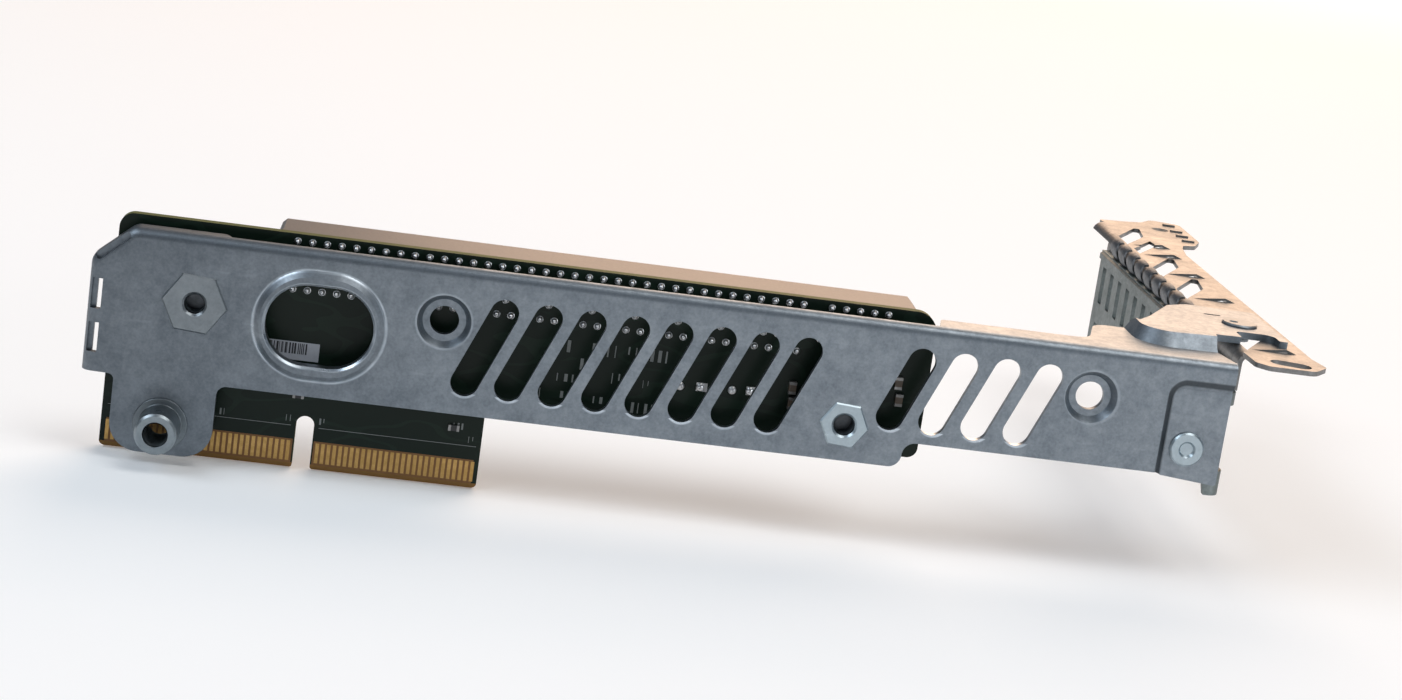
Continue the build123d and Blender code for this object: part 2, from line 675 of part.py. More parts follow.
def rear_bracket():
    """rear sheet: upright wall, rounded bend and perforated top flange"""
    reach = REAR_IN + REAR_BEND + 0.4
    profile = rounded([
        (REAR_IN, REAR_LOW, 0),
        (REAR_OUT, REAR_LOW, 0),
        (REAR_OUT, REAR_TOP - REAR_T, REAR_BEND - REAR_T),
        (reach, REAR_TOP - REAR_T, 0),
        (reach, REAR_TOP, 0),
        (REAR_IN, REAR_TOP, REAR_BEND),
    ])
    upright = slab(profile, REAR_NEAR, LIP_FAR)
    lip_low = REAR_TOP - LIP_DROP
    upright -= block(REAR_IN - 1, REAR_OUT + 1, REAR_FAR, LIP_FAR + 1, REAR_LOW - 1, lip_low)
    body = upright.fuse(plate(flange_plan(), REAR_TOP - REAR_T, REAR_TOP))
    for mouth, reach in LOUVER_MOUTHS:
        hill, hollow = louver(mouth, reach)
        body = body.fuse(hill) - hollow
    cuts = [plate(shape, REAR_TOP - 4, REAR_TOP + 4) for shape in windows()]
    tongue_slot = Pos(FLANGE_EDGE - 4.6, REAR_NEAR - 4.7) * SlotOverall(5.8, TONGUE_SLOT_W, rotation=-15)
    cuts.append(plate(tongue_slot, REAR_TOP - 4, REAR_TOP + 4))
    cuts.append(Pos(TOP_RIVET_X, TOP_RIVET_Y, REAR_TOP) * Cylinder(RIVET_R, 5))
    cuts.append(Pos(FLANGE_EDGE + 1.05, LIP_FAR - 0.6, REAR_TOP - 0.2) * Cone(1.0, 1.6, 0.4))
    body = body.cut(*cuts)
    ridges = [block(FLANGE_EDGE + 2.8, FLANGE_EDGE + 4.9, y - 0.35, y + 0.35, REAR_TOP, REAR_TOP + 0.3)
              for y in (LIP_FAR + 4.5, LIP_FAR - 1.1, LIP_FAR - 5.4, LIP_FAR - 9.8)]
    return body.fuse(*ridges)


def vent_panel():
    """perforated inner panel with a side tab that takes the side rivet"""
    inside = REAR_IN - SHEET
    tab_front = WALL_BACK + RECESS
    plan = rounded([
        (TAB_LEFT, tab_front, 0),
        (REAR_IN, tab_front, REAR_BEND),
        (REAR_IN, PANEL_FAR, 0),
        (inside, PANEL_FAR, 0),
        (inside, tab_front + SHEET, REAR_BEND - SHEET),
        (TAB_LEFT, tab_front + SHEET, 0),
    ])
    panel = plate(plan, PANEL_LOW, PANEL_TOP)
    tab_top, toe_high = RECESS_TOP - 1.5, PANEL_LOW + 2.7
    beyond, below = TAB_LEFT - 10, PANEL_LOW - 4.5
    panel -= block(beyond, REAR_IN + 1, tab_front - 1, REAR_NEAR - 0.6, tab_top, PANEL_TOP + 1)
    panel -= block(inside - 0.65, REAR_IN + 1, tab_front - 1, 0.8, toe_high + 0.9, tab_top - 1.9)
    foot = rounded([(beyond, below, 0), (beyond, toe_high, 0), (inside - 2.05, toe_high, 0),
                    (inside - 0.45, below, 0)])
    panel -= slab(foot, tab_front - 1, tab_front + SHEET + 0.1)
    rib = Polygon((inside + 0.2, PANEL_TOP - 1.75), (inside - 0.45, PANEL_TOP - 1.35),
                  (inside - 0.45, PANEL_TOP - 0.45), (inside + 0.2, PANEL_TOP - 0.05), align=None)
    panel = panel.fuse(slab(rib, 4.0, PANEL_FAR - 0.6))
    cuts = []
    for i in range(PANEL_VENTS):
        y = PANEL_VENT_FIRST - i * PANEL_VENT_PITCH
        for z, tall in PANEL_VENT_ROWS:
            slot = Pos(y, z) * Rectangle(PANEL_VENT_W, tall)
            cuts.append(side(slot, inside - 1, REAR_IN + 1))
    cuts.append(rod(RIVET_X, RIVET_Z, RIVET_R, tab_front - 1, tab_front + 3))
    return panel.cut(*cuts)


def contact_strip():
    """strip of curled spring fingers clipped along the inner top edge"""
    centre_x, centre_z = REAR_IN + 0.25, REAR_TOP - 0.7
    far = STRIP_FIRST + STRIP_FINGERS * STRIP_PITCH
    band = block(REAR_IN - STRIP_T, REAR_IN, STRIP_FIRST - 0.5, far - 1.1, PANEL_TOP + 0.05, REAR_TOP - REAR_BEND)

    def at(radius, angle):
        return (centre_x + radius * cos(radians(angle)), centre_z + radius * sin(radians(angle)))

    angles = (249, 215, 180, 145, 110)
    path = [at(STRIP_R, a) for a in angles] + [at(STRIP_R - STRIP_T, a) for a in reversed(angles)]
    outline = Polygon(*path, align=None)
    curls = []
    for i in range(STRIP_FINGERS):
        y = STRIP_FIRST + i * STRIP_PITCH
        curls.append(slab(outline, y, y + STRIP_FINGER_W))
    return band.fuse(*curls)


def side_rivet():
    """rivet through the joggled corner and the side tab"""
    front = WALL_FRONT + RECESS
    back = WALL_BACK + RECESS + SHEET
    x, z = RIVET_X, RIVET_Z
    head = rod(x, z, RIVET_HEAD_R, front - RIVET_HEAD, front)
    head = chamfer(head.edges().group_by(Axis.Y)[0], 0.25)
    tail = rod(x, z, RIVET_TAIL_R, back, back + RIVET_HEAD)
    dimple = rod(x, z, 0.9, front - RIVET_HEAD, front - RIVET_HEAD + 0.35, 1.2)
    return head.fuse(rod(x, z, RIVET_R, front, back), tail) - dimple


def top_rivet():
    """rivet through the raised plate and the rear flange"""
    place = Pos(TOP_RIVET_X, TOP_RIVET_Y, 0)
    head = place * Pos(0, 0, PLATE_TOP + 0.2) * Cylinder(2.6, 0.4)
    head = chamfer(head.edges().group_by(Axis.Z)[-1], 0.2)
    shank = place * Pos(0, 0, (PLATE_TOP + REAR_TOP - REAR_T) / 2) * Cylinder(RIVET_R, SHEET + REAR_T)
    tail = place * Pos(0, 0, REAR_TOP - REAR_T - 0.25) * Cylinder(1.7, 0.5)
    dimple = place * Pos(-0.9, 0, PLATE_TOP + 0.35) * Cylinder(0.6, 0.3)
    return head.fuse(shank, tail) - dimple


def board_screws():
    """two pan-head screws that hold the board against the hexagonal standoffs"""
    screws = []
    for x, z, _, bore, _ in (LEFT_HEX, RIGHT_HEX):
        head = rod(x, z, SCREW_HEAD_R, BOARD_BACK, BOARD_BACK + SCREW_HEAD)
        head = chamfer(head.edges().group_by(Axis.Y)[-1], 0.5)
        shank = rod(x, z, bore - SCREW_PLAY, BOARD_FRONT - SCREW_REACH, BOARD_BACK)
        screw = head.fuse(shank)
        screw -= Pos(x, BOARD_BACK + SCREW_HEAD, z) * Box(2.6, 1.8, 0.5)
        screw -= Pos(x, BOARD_BACK + SCREW_HEAD, z) * Box(0.5, 1.8, 2.6)
        screws.append(screw)
    return Compound(screws)


def chips(places, size):
    """small soldered parts on the front of the board, each x, z and turned or not"""
    long, thick, wide = size
    made = []
    for x, z, upright in places:
        across, tall = (wide, long) if upright else (long, wide)
        made.append(block(x - across / 2, x + across / 2, BOARD_FRONT - thick, BOARD_FRONT,
                          z - tall / 2, z + tall / 2))
    return Compound(made)


def board_label():
    return block(*LABEL_X, BOARD_FRONT - LABEL_T, BOARD_FRONT, *LABEL_Z)


def capacitor_places():
    """two pairs of chip capacitors, placed from the board's right end"""
    for inset, z in CAPACITORS:
        yield BOARD_RIGHT - inset, z, True


def resistor_places():
    """small chips above the contact fingers, placed from the plug's right end and its notch"""
    yield PLUG_RIGHT - 4.05, NOTCH_TOP + 0.9, False
    yield -NOTCH_W / 2 - 0.1, NOTCH_TOP + 2.9, False


PARTS = {
    "side_bracket": side_bracket,
    "rear_bracket": rear_bracket,
    "vent_panel": vent_panel,
    "contact_strip": contact_strip,
    "riser_board": riser_board,
    "slot_housing": slot_housing,
    "slot_contacts_upper": lambda: slot_contacts(1),
    "slot_contacts_lower": lambda: slot_contacts(-1),
    "solder_joints": solder_joints,
    "front_fingers": lambda: fingers(BOARD_FRONT - FINGER_T, BOARD_FRONT),
    "back_fingers": lambda: fingers(BOARD_BACK, BOARD_BACK + FINGER_T),
    "left_hex_standoff": lambda: hex_standoff(LEFT_HEX),
    "right_hex_standoff": lambda: hex_standoff(RIGHT_HEX),
    "guide_standoff": guide_standoff,
    "side_rivet": side_rivet,
    "top_rivet": top_rivet,
    "board_screws": board_screws,
    "board_label": board_label,
    "capacitors": lambda: chips(capacitor_places(), CAPACITOR_SIZE),
    "resistors": lambda: chips(resistor_places(), RESISTOR_SIZE),
}

for name, make in PARTS.items():
    shape = make()
    export_step(shape, f"parts/{name}.step")
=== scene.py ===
"""Dresses a server riser assembly: folded side sheet, plug-in board, card slot and rear bracket.

Sizes of the pieces are in millimetres in the part's own frame; lights and floor are in metres.
"""

import json
import logging
import math
from dataclasses import dataclass
from enum import Enum
from typing import Any, ClassVar, Sequence

import bmesh
import bpy
import numpy as np
from mathutils import Matrix, Vector

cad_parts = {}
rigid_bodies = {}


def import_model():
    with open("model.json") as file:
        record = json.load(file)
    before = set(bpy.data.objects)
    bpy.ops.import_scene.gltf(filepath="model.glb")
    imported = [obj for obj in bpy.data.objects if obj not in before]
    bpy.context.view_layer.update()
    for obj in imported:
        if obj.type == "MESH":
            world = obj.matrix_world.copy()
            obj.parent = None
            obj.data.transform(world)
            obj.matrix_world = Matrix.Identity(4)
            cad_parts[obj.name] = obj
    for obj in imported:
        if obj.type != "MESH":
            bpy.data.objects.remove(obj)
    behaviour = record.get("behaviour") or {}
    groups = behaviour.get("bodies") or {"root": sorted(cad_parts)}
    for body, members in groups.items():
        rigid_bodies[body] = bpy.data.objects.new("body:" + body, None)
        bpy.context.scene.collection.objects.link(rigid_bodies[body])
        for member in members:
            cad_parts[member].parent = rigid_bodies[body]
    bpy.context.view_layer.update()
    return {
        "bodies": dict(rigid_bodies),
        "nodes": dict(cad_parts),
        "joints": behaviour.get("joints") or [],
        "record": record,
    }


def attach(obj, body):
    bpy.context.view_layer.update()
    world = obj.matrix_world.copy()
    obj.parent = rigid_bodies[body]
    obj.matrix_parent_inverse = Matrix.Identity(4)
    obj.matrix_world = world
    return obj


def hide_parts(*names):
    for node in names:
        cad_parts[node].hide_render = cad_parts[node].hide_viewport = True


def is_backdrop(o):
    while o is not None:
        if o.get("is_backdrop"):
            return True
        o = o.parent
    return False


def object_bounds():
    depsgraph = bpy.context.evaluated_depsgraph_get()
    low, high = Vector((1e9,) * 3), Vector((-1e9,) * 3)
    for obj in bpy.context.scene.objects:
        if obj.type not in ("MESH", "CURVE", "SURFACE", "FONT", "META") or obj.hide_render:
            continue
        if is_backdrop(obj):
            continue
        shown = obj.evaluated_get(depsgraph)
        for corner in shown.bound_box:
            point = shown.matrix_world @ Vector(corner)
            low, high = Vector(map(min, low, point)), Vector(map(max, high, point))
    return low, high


logging.basicConfig(level=logging.INFO, format="%(message)s")
log = logging.getLogger("riser")

MM = 0.001
BODY = "root"
WELD = 2e-6
FLAT_ANGLE = math.radians(0.7)
SHARP_ANGLE = math.radians(32)
BEVEL_ANGLE = math.radians(50)
BEVEL_STEPS = 2

Triple = tuple[float, float, float]
Faces = Sequence[Sequence[int]]

UNSTRETCHED: Triple = (1.0, 1.0, 1.0)


class Grain(Enum):
    """Grain of a metal: spread of roughness, blotches and speckles per metre, contrast, bump."""

    MOTTLED = (0.12, 190.0, 2400.0, 1.0, 0.05)
    ROLLED = (0.12, 140.0, 2400.0, 1.15, 0.05)
    SATIN = (0.08, 240.0, 2600.0, 0.7, 0.03)
    SPRUNG = (0.1, 260.0, 2600.0, 1.0, 0.03)
    PLATED = (0.1, 300.0, 3000.0, 0.8, 0.03)
    TINNED = (0.1, 700.0, 4000.0, 0.8, 0.05)


@dataclass(frozen=True)
class Noise:
    """A fractal noise: features per metre, octaves, weight of the finer ones, scale along axes."""

    scale: float
    detail: float = 3.0
    rough: float = 0.5
    stretch: Triple = UNSTRETCHED


class Expr:
    """A shader value that can be used in Python arithmetic."""

    def __init__(self, nodes: "Nodes", socket: Any) -> None:
        """Keep the node maker and the socket.

        Args:
            nodes: node maker of the material.
            socket: output socket, or none on the material's closing node.
        """
        self.nodes = nodes
        self.socket = socket

    def _math(self, operation: str, *values: Any) -> "Expr":
        """Add one Math node.

        Args:
            operation: name of the operation.
            values: numbers or expressions.

        Returns:
            The result as an expression.
        """
        return self.nodes.make("ShaderNodeMath", {"operation": operation}, dict(enumerate(values)))

    def __add__(self, other: Any) -> "Expr":
        """Sum."""
        return self._math("ADD", self, other)

    __radd__ = __add__

    def __sub__(self, other: Any) -> "Expr":
        """Difference."""
        return self._math("SUBTRACT", self, other)

    def __rsub__(self, other: Any) -> "Expr":
        """Reflected difference."""
        return self._math("SUBTRACT", other, self)

    def __mul__(self, other: Any) -> "Expr":
        """Product."""
        return self._math("MULTIPLY", self, other)

    __rmul__ = __mul__

    def __pow__(self, other: Any) -> "Expr":
        """Power."""
        return self._math("POWER", self, other)

    def __abs__(self) -> "Expr":
        """Absolute value."""
        return self._math("ABSOLUTE", self)

    def clamp(self) -> "Expr":
        """Hold the value between nought and one."""
        return self.nodes.make("ShaderNodeClamp", {}, {"Value": self})

    def below(self, limit: Any) -> "Expr":
        """One where the value is under the limit, else nought."""
        return self._math("LESS_THAN", self, limit)

    def above(self, limit: Any) -> "Expr":
        """One where the value is over the limit, else nought."""
        return self._math("GREATER_THAN", self, limit)

    def positive(self) -> "Expr":
        """The value where it is over nought, else nought."""
        return self * self.above(0.0)

    def wrap(self, period: float) -> "Expr":
        """Remainder of the value in each period, never negative."""
        return self._math("FLOORED_MODULO", self, period)

    def smooth(self, low: float, high: float) -> "Expr":
        """Rise smoothly from nought at low to one at high.

        Args:
            low: value where the rise starts.
            high: value where the rise ends.

        Returns:
            The eased value.
        """
        return self.nodes.make(
            "ShaderNodeMapRange",
            {"interpolation_type": "SMOOTHSTEP"},
            {"Value": self, "From Min": low, "From Max": high},
        )


class Nodes:
    """Makes the nodes of one material."""

    MIX_FACTOR: ClassVar[int] = 0
    MIX_LOW: ClassVar[int] = 6
    MIX_HIGH: ClassVar[int] = 7
    MIX_RESULT: ClassVar[int] = 2

    def __init__(self, name: str) -> None:
        """Start an empty material.

        Args:
            name: material name.
        """
        self.material = bpy.data.materials.new(name)
        self.material.use_nodes = True
        self.tree = self.material.node_tree
        self.tree.nodes.clear()
        self._place: Expr | None = None

    def make(
        self, kind: str, settings: dict[str, Any], inputs: dict[Any, Any], output: Any = 0
    ) -> Expr:
        """Add a node, set it, then fill its sockets.

        Args:
            kind: node type.
            settings: properties, which are set first.
            inputs: socket name or index to number, tuple or expression.
            output: name or index of the output to return.

        Returns:
            The chosen output as an expression.
        """
        node = self.tree.nodes.new(kind)
        for key, value in settings.items():
            setattr(node, key, value)
        for key, value in inputs.items():
            if isinstance(value, Expr):
                self.tree.links.new(value.socket, node.inputs[key])
            else:
                node.inputs[key].default_value = value
        return Expr(self, node.outputs[output] if len(node.outputs) else None)

    def place(self) -> Expr:
        """Object coordinates, one node for the whole material.

        Returns:
            The coordinates as an expression.
        """
        if self._place is None:
            self._place = self.make("ShaderNodeTexCoord", {}, {}, "Object")
        return self._place

    def axes(self) -> tuple[Expr, Expr, Expr]:
        """The object coordinates as three values."""
        node = self.make("ShaderNodeSeparateXYZ", {}, {0: self.place()}).socket.node
        return tuple(Expr(self, output) for output in node.outputs)

    def noise(self, noise: Noise) -> Expr:
        """Fractal noise on object coordinates.

        Args:
            noise: sizes of the noise.

        Returns:
            Noise between nought and one.
        """
        vector = self.place()
        if noise.stretch != UNSTRETCHED:
            inputs = {0: vector, 1: noise.stretch}
            vector = self.make("ShaderNodeVectorMath", {"operation": "MULTIPLY"}, inputs)
        sizes = {"Scale": noise.scale, "Detail": noise.detail, "Roughness": noise.rough}
        return self.make("ShaderNodeTexNoise", {}, {"Vector": vector, **sizes})

    def blend(self, factor: Any, low: Any, high: Any) -> Expr:
        """Mix two colours.

        Args:
            factor: share of the second colour.
            low: first colour or expression.
            high: second colour or expression.

        Returns:
            The mixed colour.
        """
        inputs = {self.MIX_FACTOR: factor}
        for key, value in ((self.MIX_LOW, low), (self.MIX_HIGH, high)):
            inputs[key] = value if isinstance(value, Expr) else (*value, 1.0)
        return self.make("ShaderNodeMix", {"data_type": "RGBA"}, inputs, self.MIX_RESULT)

    def bump(self, height: Expr, strength: float, distance: float) -> Expr:
        """Turn a height into a normal."""
        inputs = {"Height": height, "Strength": strength, "Distance": distance}
        return self.make("ShaderNodeBump", {}, inputs)

    def finish(self, inputs: dict[str, Any]) -> bpy.types.Material:
        """Add the surface shader and the output.

        Args:
            inputs: sockets of the surface shader.

        Returns:
            The finished material.
        """
        surface = self.make("ShaderNodeBsdfPrincipled", {}, inputs)
        self.make("ShaderNodeOutputMaterial", {}, {"Surface": surface})
        return self.material


def scaled(colour: Triple, gain: float) -> Triple:
    """A colour times a gain, held at one."""
    return tuple(min(1.0, channel * gain) for channel in colour)


def away_from_round(side: Expr, rise: Expr, radius: float) -> Expr:
    """Distance from a round outline: hypot(side, rise) - radius."""
    return (side * side + rise * rise) ** 0.5 - radius


@dataclass(frozen=True)
class MetalFinish:
    """Plated or bare sheet metal with mottling, fine scratches and rubbed marks."""

    name: str
    dark: Triple
    light: Triple
    rough: float
    grain: Grain = Grain.MOTTLED

    EASE: ClassVar[tuple[float, float]] = (0.3, 0.7)
    PATCHES_TO_BLOTCH: ClassVar[float] = 4.2
    STREAKS: ClassVar[Noise] = Noise(620.0, 2.0, 0.5, (0.1, 1.0, 1.0))
    SHARES: ClassVar[tuple[float, float, float, float]] = (0.32, 0.3, 0.28, 0.1)
    RUBS: ClassVar[Noise] = Noise(900.0, 1.0, 0.4, (0.06, 1.0, 1.0))
    RUB_EDGE: ClassVar[tuple[float, float]] = (0.68, 0.74)
    RUB_CLOUD: ClassVar[tuple[float, float]] = (0.5, 0.6)
    RUB_SHARE: ClassVar[float] = 0.14
    RUB_GLOSS: ClassVar[float] = 0.1
    RUB_GAIN: ClassVar[float] = 1.35
    PAINTED_HIGHLIGHT_GLOSS: ClassVar[float] = 0.14
    PAINTED_HIGHLIGHT_GAIN: ClassVar[float] = 1.9
    SHADE_GAIN: ClassVar[float] = 0.25
    BUMP_SPECKLE: ClassVar[float] = 0.6
    BUMP_STREAK: ClassVar[float] = 0.4
    RELIEF: ClassVar[float] = 0.00006

    def shade(self, n: Nodes) -> Expr | None:
        """Share of darkening over the surface, none on a plain piece; on the pressed sheet it is
        painted shade.
        """
        return None

    def painted_highlight(self, n: Nodes) -> Expr | None:
        """Share of painted highlight, brightening the metal, none on a plain piece."""
        return None

    def build(self) -> bpy.types.Material:
        """Clouds of three sizes steer colour and roughness, under rolling streaks and rare rubs.

        Returns:
            The finished material.
        """
        n = Nodes(self.name)
        spread, blotch, speckle, contrast, bump = self.grain.value
        cloud = n.noise(Noise(blotch, detail=4.0, rough=0.62))
        patch = n.noise(Noise(blotch * self.PATCHES_TO_BLOTCH, rough=0.6))
        small = n.noise(Noise(speckle, rough=0.65))
        streak = n.noise(self.STREAKS)
        of_cloud, of_patch, of_small, of_streak = self.SHARES
        mix = cloud.smooth(*self.EASE) * of_cloud + patch.smooth(*self.EASE) * of_patch
        mix = mix + small.smooth(*self.EASE) * of_small + streak * of_streak
        mix = (mix * contrast + 0.5 * (1 - contrast)).clamp()
        rub = n.noise(self.RUBS).smooth(*self.RUB_EDGE) * cloud.smooth(*self.RUB_CLOUD)
        colour = n.blend(mix, self.dark, self.light)
        colour = n.blend((rub * self.RUB_SHARE).clamp(), colour, scaled(self.light, self.RUB_GAIN))
        rough = (self.rough + (0.5 - mix) * spread - rub * self.RUB_GLOSS).clamp()
        # Painted highlight brightens and smooths the metal; painted shade darkens it.
        painted_highlight, shade = self.painted_highlight(n), self.shade(n)
        if painted_highlight is not None:
            colour = n.blend(painted_highlight, colour, scaled(self.light, self.PAINTED_HIGHLIGHT_GAIN))
            rough = (rough - painted_highlight * self.PAINTED_HIGHLIGHT_GLOSS).clamp()
        if shade is not None:
            colour = n.blend(shade, colour, scaled(self.dark, self.SHADE_GAIN))
        height = small * self.BUMP_SPECKLE + streak * self.BUMP_STREAK
        normal = n.bump(height, bump, self.RELIEF)
        return n.finish(
            {"Base Color": colour, "Metallic": 1.0, "Roughness": rough, "Normal": normal}
        )


@dataclass(frozen=True)
class Rim:
    """A pressed rim: its middle, its height, half its straight run, its radius and the share of its
    painted highlight.
    """

    x: float
    z: float
    straight: float
    radius: float
    share: float


@dataclass(frozen=True)
class VentRow:
    """A row of slanted vents: middle of the first, their height and their number."""

    x: float
    z: float
    count: int


@dataclass(frozen=True)
class PressedFinish(MetalFinish):
    """Zinc of the side sheet, with painted shade in the corner's crease, in the slit and towards
    the left end, and painted highlights on pressed rims and vent lips.
    """

    HIGHLIGHT_BREAKUP: ClassVar[Noise] = Noise(420.0, 2.0)

    corner: tuple[float, float] = (118.3, 29.1)
    corner_round: float = 2.6
    crease: tuple[float, float] = (-0.95, 0.1)
    crease_fade: tuple[float, float] = (0.55, 1.25)
    crease_shade_share: float = 0.8
    slit: tuple[float, float, float, float, float] = (-29.6, -26.3, -4.6, -3.35, 27.9)
    left_shade: tuple[float, float] = (-34.0, 46.0)
    left_shade_share: float = 0.36
    rims: tuple[Rim, ...] = (
        Rim(0.63, 21.6, 1.35, 7.65, 1.0),
        Rim(0.63, 21.6, 1.73, 5.75, 1.0),
        Rim(17.24, 24.41, 0.0, 3.75, 0.45),
        Rim(107.56, 25.0, 0.0, 3.75, 0.3),
    )
    rim_fade: tuple[float, float] = (0.05, 0.34)
    vents: tuple[VentRow, ...] = (VentRow(20.99, 16.35, 8), VentRow(79.95, 18.8, 4))
    vent_pitch: float = 6.0
    vent_radius: float = 1.95
    vent_foot: float = -0.8
    lip_out: float = 0.12
    lip_fade: tuple[float, float] = (0.1, 0.3)

    def shade(self, n: Nodes) -> Expr | None:
        """Painted shade: the crease is a band of the rounded corner's distance, the slit's shadow
        is a box, and the shade towards the left end fades along x.

        Distance = hypot(max(corner x + round - x, 0), max(z - corner z + round, 0)) - round.

        Args:
            n: node maker.

        Returns:
            Painted shade between nought and one.
        """
        x, y, z = n.axes()
        # Painted shade: a dark band along the crease of the recessed corner.
        side = (self.corner[0] + self.corner_round) * MM - x
        rise = z - (self.corner[1] - self.corner_round) * MM
        away = away_from_round(side.positive(), rise.positive(), self.corner_round * MM)
        middle = sum(self.crease) / 2 * MM
        half = (self.crease[1] - self.crease[0]) / 2 * MM
        crease = 1 - abs(away - middle).smooth(*(half * fade for fade in self.crease_fade))
        # Painted shadow: a dark box where the slit shows only shade.
        left, right, near, far, low = (edge * MM for edge in self.slit)
        slit = x.above(left) * x.below(right) * y.above(near) * y.below(far) * z.above(low)
        # Painted shade: the sheet grows darker towards its left end.
        left_shade = 1 - x.smooth(self.left_shade[0] * MM, self.left_shade[1] * MM)
        return (crease * self.crease_shade_share + slit + left_shade * self.left_shade_share).clamp()

    def painted_highlight(self, n: Nodes) -> Expr | None:
        """Painted highlights on the pressed rims and on the lower lips of the slanted vents.

        Rim = narrow band where hypot(max(|x - x0| - straight, 0), z - z0) meets its radius;
        lip = the same for a circle repeated at the vents' pitch, kept only at its foot.

        Args:
            n: node maker.

        Returns:
            Painted highlight between nought and one.
        """
        x, _, z = n.axes()
        highlight_breakup = n.noise(self.HIGHLIGHT_BREAKUP).smooth(*self.EASE)
        rim_fade = [edge * MM for edge in self.rim_fade]
        lip_fade = [edge * MM for edge in self.lip_fade]
        total: Any = 0.0
        # Painted highlights: bright bands on the pressed rims of the oval and the dimples.
        for rim in self.rims:
            rise = z - rim.z * MM
            side = abs(x - rim.x * MM) - rim.straight * MM
            away = away_from_round(side.positive(), rise, rim.radius * MM)
            total = total + (1 - abs(away).smooth(*rim_fade)) * rim.share
        # Painted highlights: bright arcs on the lower lips of the vents.
        pitch, radius = self.vent_pitch * MM, self.vent_radius * MM
        for row in self.vents:
            along = x - (row.x - self.vent_pitch / 2) * MM
            side = along.wrap(pitch) - pitch / 2
            drop = z - row.z * MM
            away = away_from_round(side, drop, radius)
            lip = 1 - abs(away - self.lip_out * MM).smooth(*lip_fade)
            lip = lip * drop.below(self.vent_foot * radius)
            total = total + lip * along.above(0.0) * along.below(row.count * pitch)
        return (total * (highlight_breakup * 0.5 + 0.5)).clamp()


@dataclass(frozen=True)
class SeatedFinish(MetalFinish):
    """Zinc of a pressed-in standoff whose collar is darkened to the sheet's tone."""

    seat: float = -6.3
    collar_darkening: float = 0.42

    def shade(self, n: Nodes) -> Expr | None:
        """Everything behind the seat's depth is darkened."""
        _, y, _ = n.axes()
        return y.above(self.seat * MM) * self.collar_darkening


@dataclass(frozen=True)
class MaskFinish:
    """Solder mask of the board: dark green film, buried tracks, pale laminate at the edges."""

    name: str
    dark: Triple
    light: Triple
    edge: Triple
    half: float = 0.785
    film: float = 0.04
    plug: float = 0.78
    bare: Triple = (0.28, 0.15, 0.045)

    TRACKS: ClassVar[Noise] = Noise(260.0, 1.0, 0.3, (0.35, 1.0, 1.0))
    TRACK_HALF: ClassVar[float] = 0.025
    CLOUDS: ClassVar[Noise] = Noise(120.0)
    WEAVE: ClassVar[Noise] = Noise(2500.0, 2.0, 0.6, (0.2, 1.0, 1.0))
    EDGE_GAIN: ClassVar[float] = 0.6
    BARE_GAIN: ClassVar[float] = 0.7
    ROUGH: ClassVar[float] = 0.62
    FACE_GLOSS: ClassVar[float] = 0.34
    BUMP: ClassVar[float] = 0.12
    RELIEF: ClassVar[float] = 0.00004
    SPECULAR: ClassVar[float] = 0.19

    def build(self) -> bpy.types.Material:
        """Tracks are thin bands of a noise; the edge is told by its distance from mid-thickness.

        Returns:
            The finished material.
        """
        n = Nodes(self.name)
        _, y, z = n.axes()
        band = abs(n.noise(self.TRACKS) - 0.5).below(self.TRACK_HALF)
        cloud = n.noise(self.CLOUDS)
        face = abs(y).above((self.half - self.film) * MM)
        skin = n.blend((band * 0.5 + cloud * 0.3).clamp(), self.dark, self.light)
        weave = n.noise(self.WEAVE)
        edge = n.blend(weave, self.edge, scaled(self.edge, self.EDGE_GAIN))
        colour = n.blend(face, edge, skin)
        bare = n.blend(weave, self.bare, scaled(self.bare, self.BARE_GAIN))
        colour = n.blend(z.below(self.plug * MM), colour, bare)
        rough = self.ROUGH - face * self.FACE_GLOSS + cloud * 0.06
        normal = n.bump(band * 0.5 + weave * (1 - face) * 0.5, self.BUMP, self.RELIEF)
        return n.finish({
            "Base Color": colour,
            "Roughness": rough,
            "Normal": normal,
            "Specular IOR Level": self.SPECULAR,
        })


@dataclass(frozen=True)
class PlasticFinish:
    """Moulded plastic with a fine grain."""

    name: str
    dark: Triple
    light: Triple
    rough: float

    BROAD: ClassVar[Noise] = Noise(60.0)
    FINE: ClassVar[Noise] = Noise(3200.0, 2.0)
    SPREAD: ClassVar[float] = 0.12
    BUMP: ClassVar[float] = 0.1
    RELIEF: ClassVar[float] = 0.00003

    def build(self) -> bpy.types.Material:
        """Colour drifts with a broad noise and the grain is a fine bump.

        Returns:
            The finished material.
        """
        n = Nodes(self.name)
        broad = n.noise(self.BROAD)
        fine = n.noise(self.FINE)
        colour = n.blend((broad * 0.8 + fine * 0.2).clamp(), self.dark, self.light)
        rough = self.rough + (fine - 0.5) * self.SPREAD
        normal = n.bump(fine, self.BUMP, self.RELIEF)
        return n.finish({"Base Color": colour, "Roughness": rough, "Normal": normal})


@dataclass(frozen=True)
class PrintFinish:
    """Matt printed film."""

    name: str
    dark: Triple
    light: Triple
    rough: float

    FINE: ClassVar[Noise] = Noise(2200.0, 3.0, 0.6)
    SPREAD: ClassVar[float] = 0.1

    def build(self) -> bpy.types.Material:
        """Slight unevenness of a printed layer.

        Returns:
            The finished material.
        """
        n = Nodes(self.name)
        fine = n.noise(self.FINE)
        colour = n.blend(fine, self.dark, self.light)
        return n.finish({"Base Color": colour, "Roughness": self.rough + fine * self.SPREAD})


Finish = MetalFinish | MaskFinish | PlasticFinish | PrintFinish


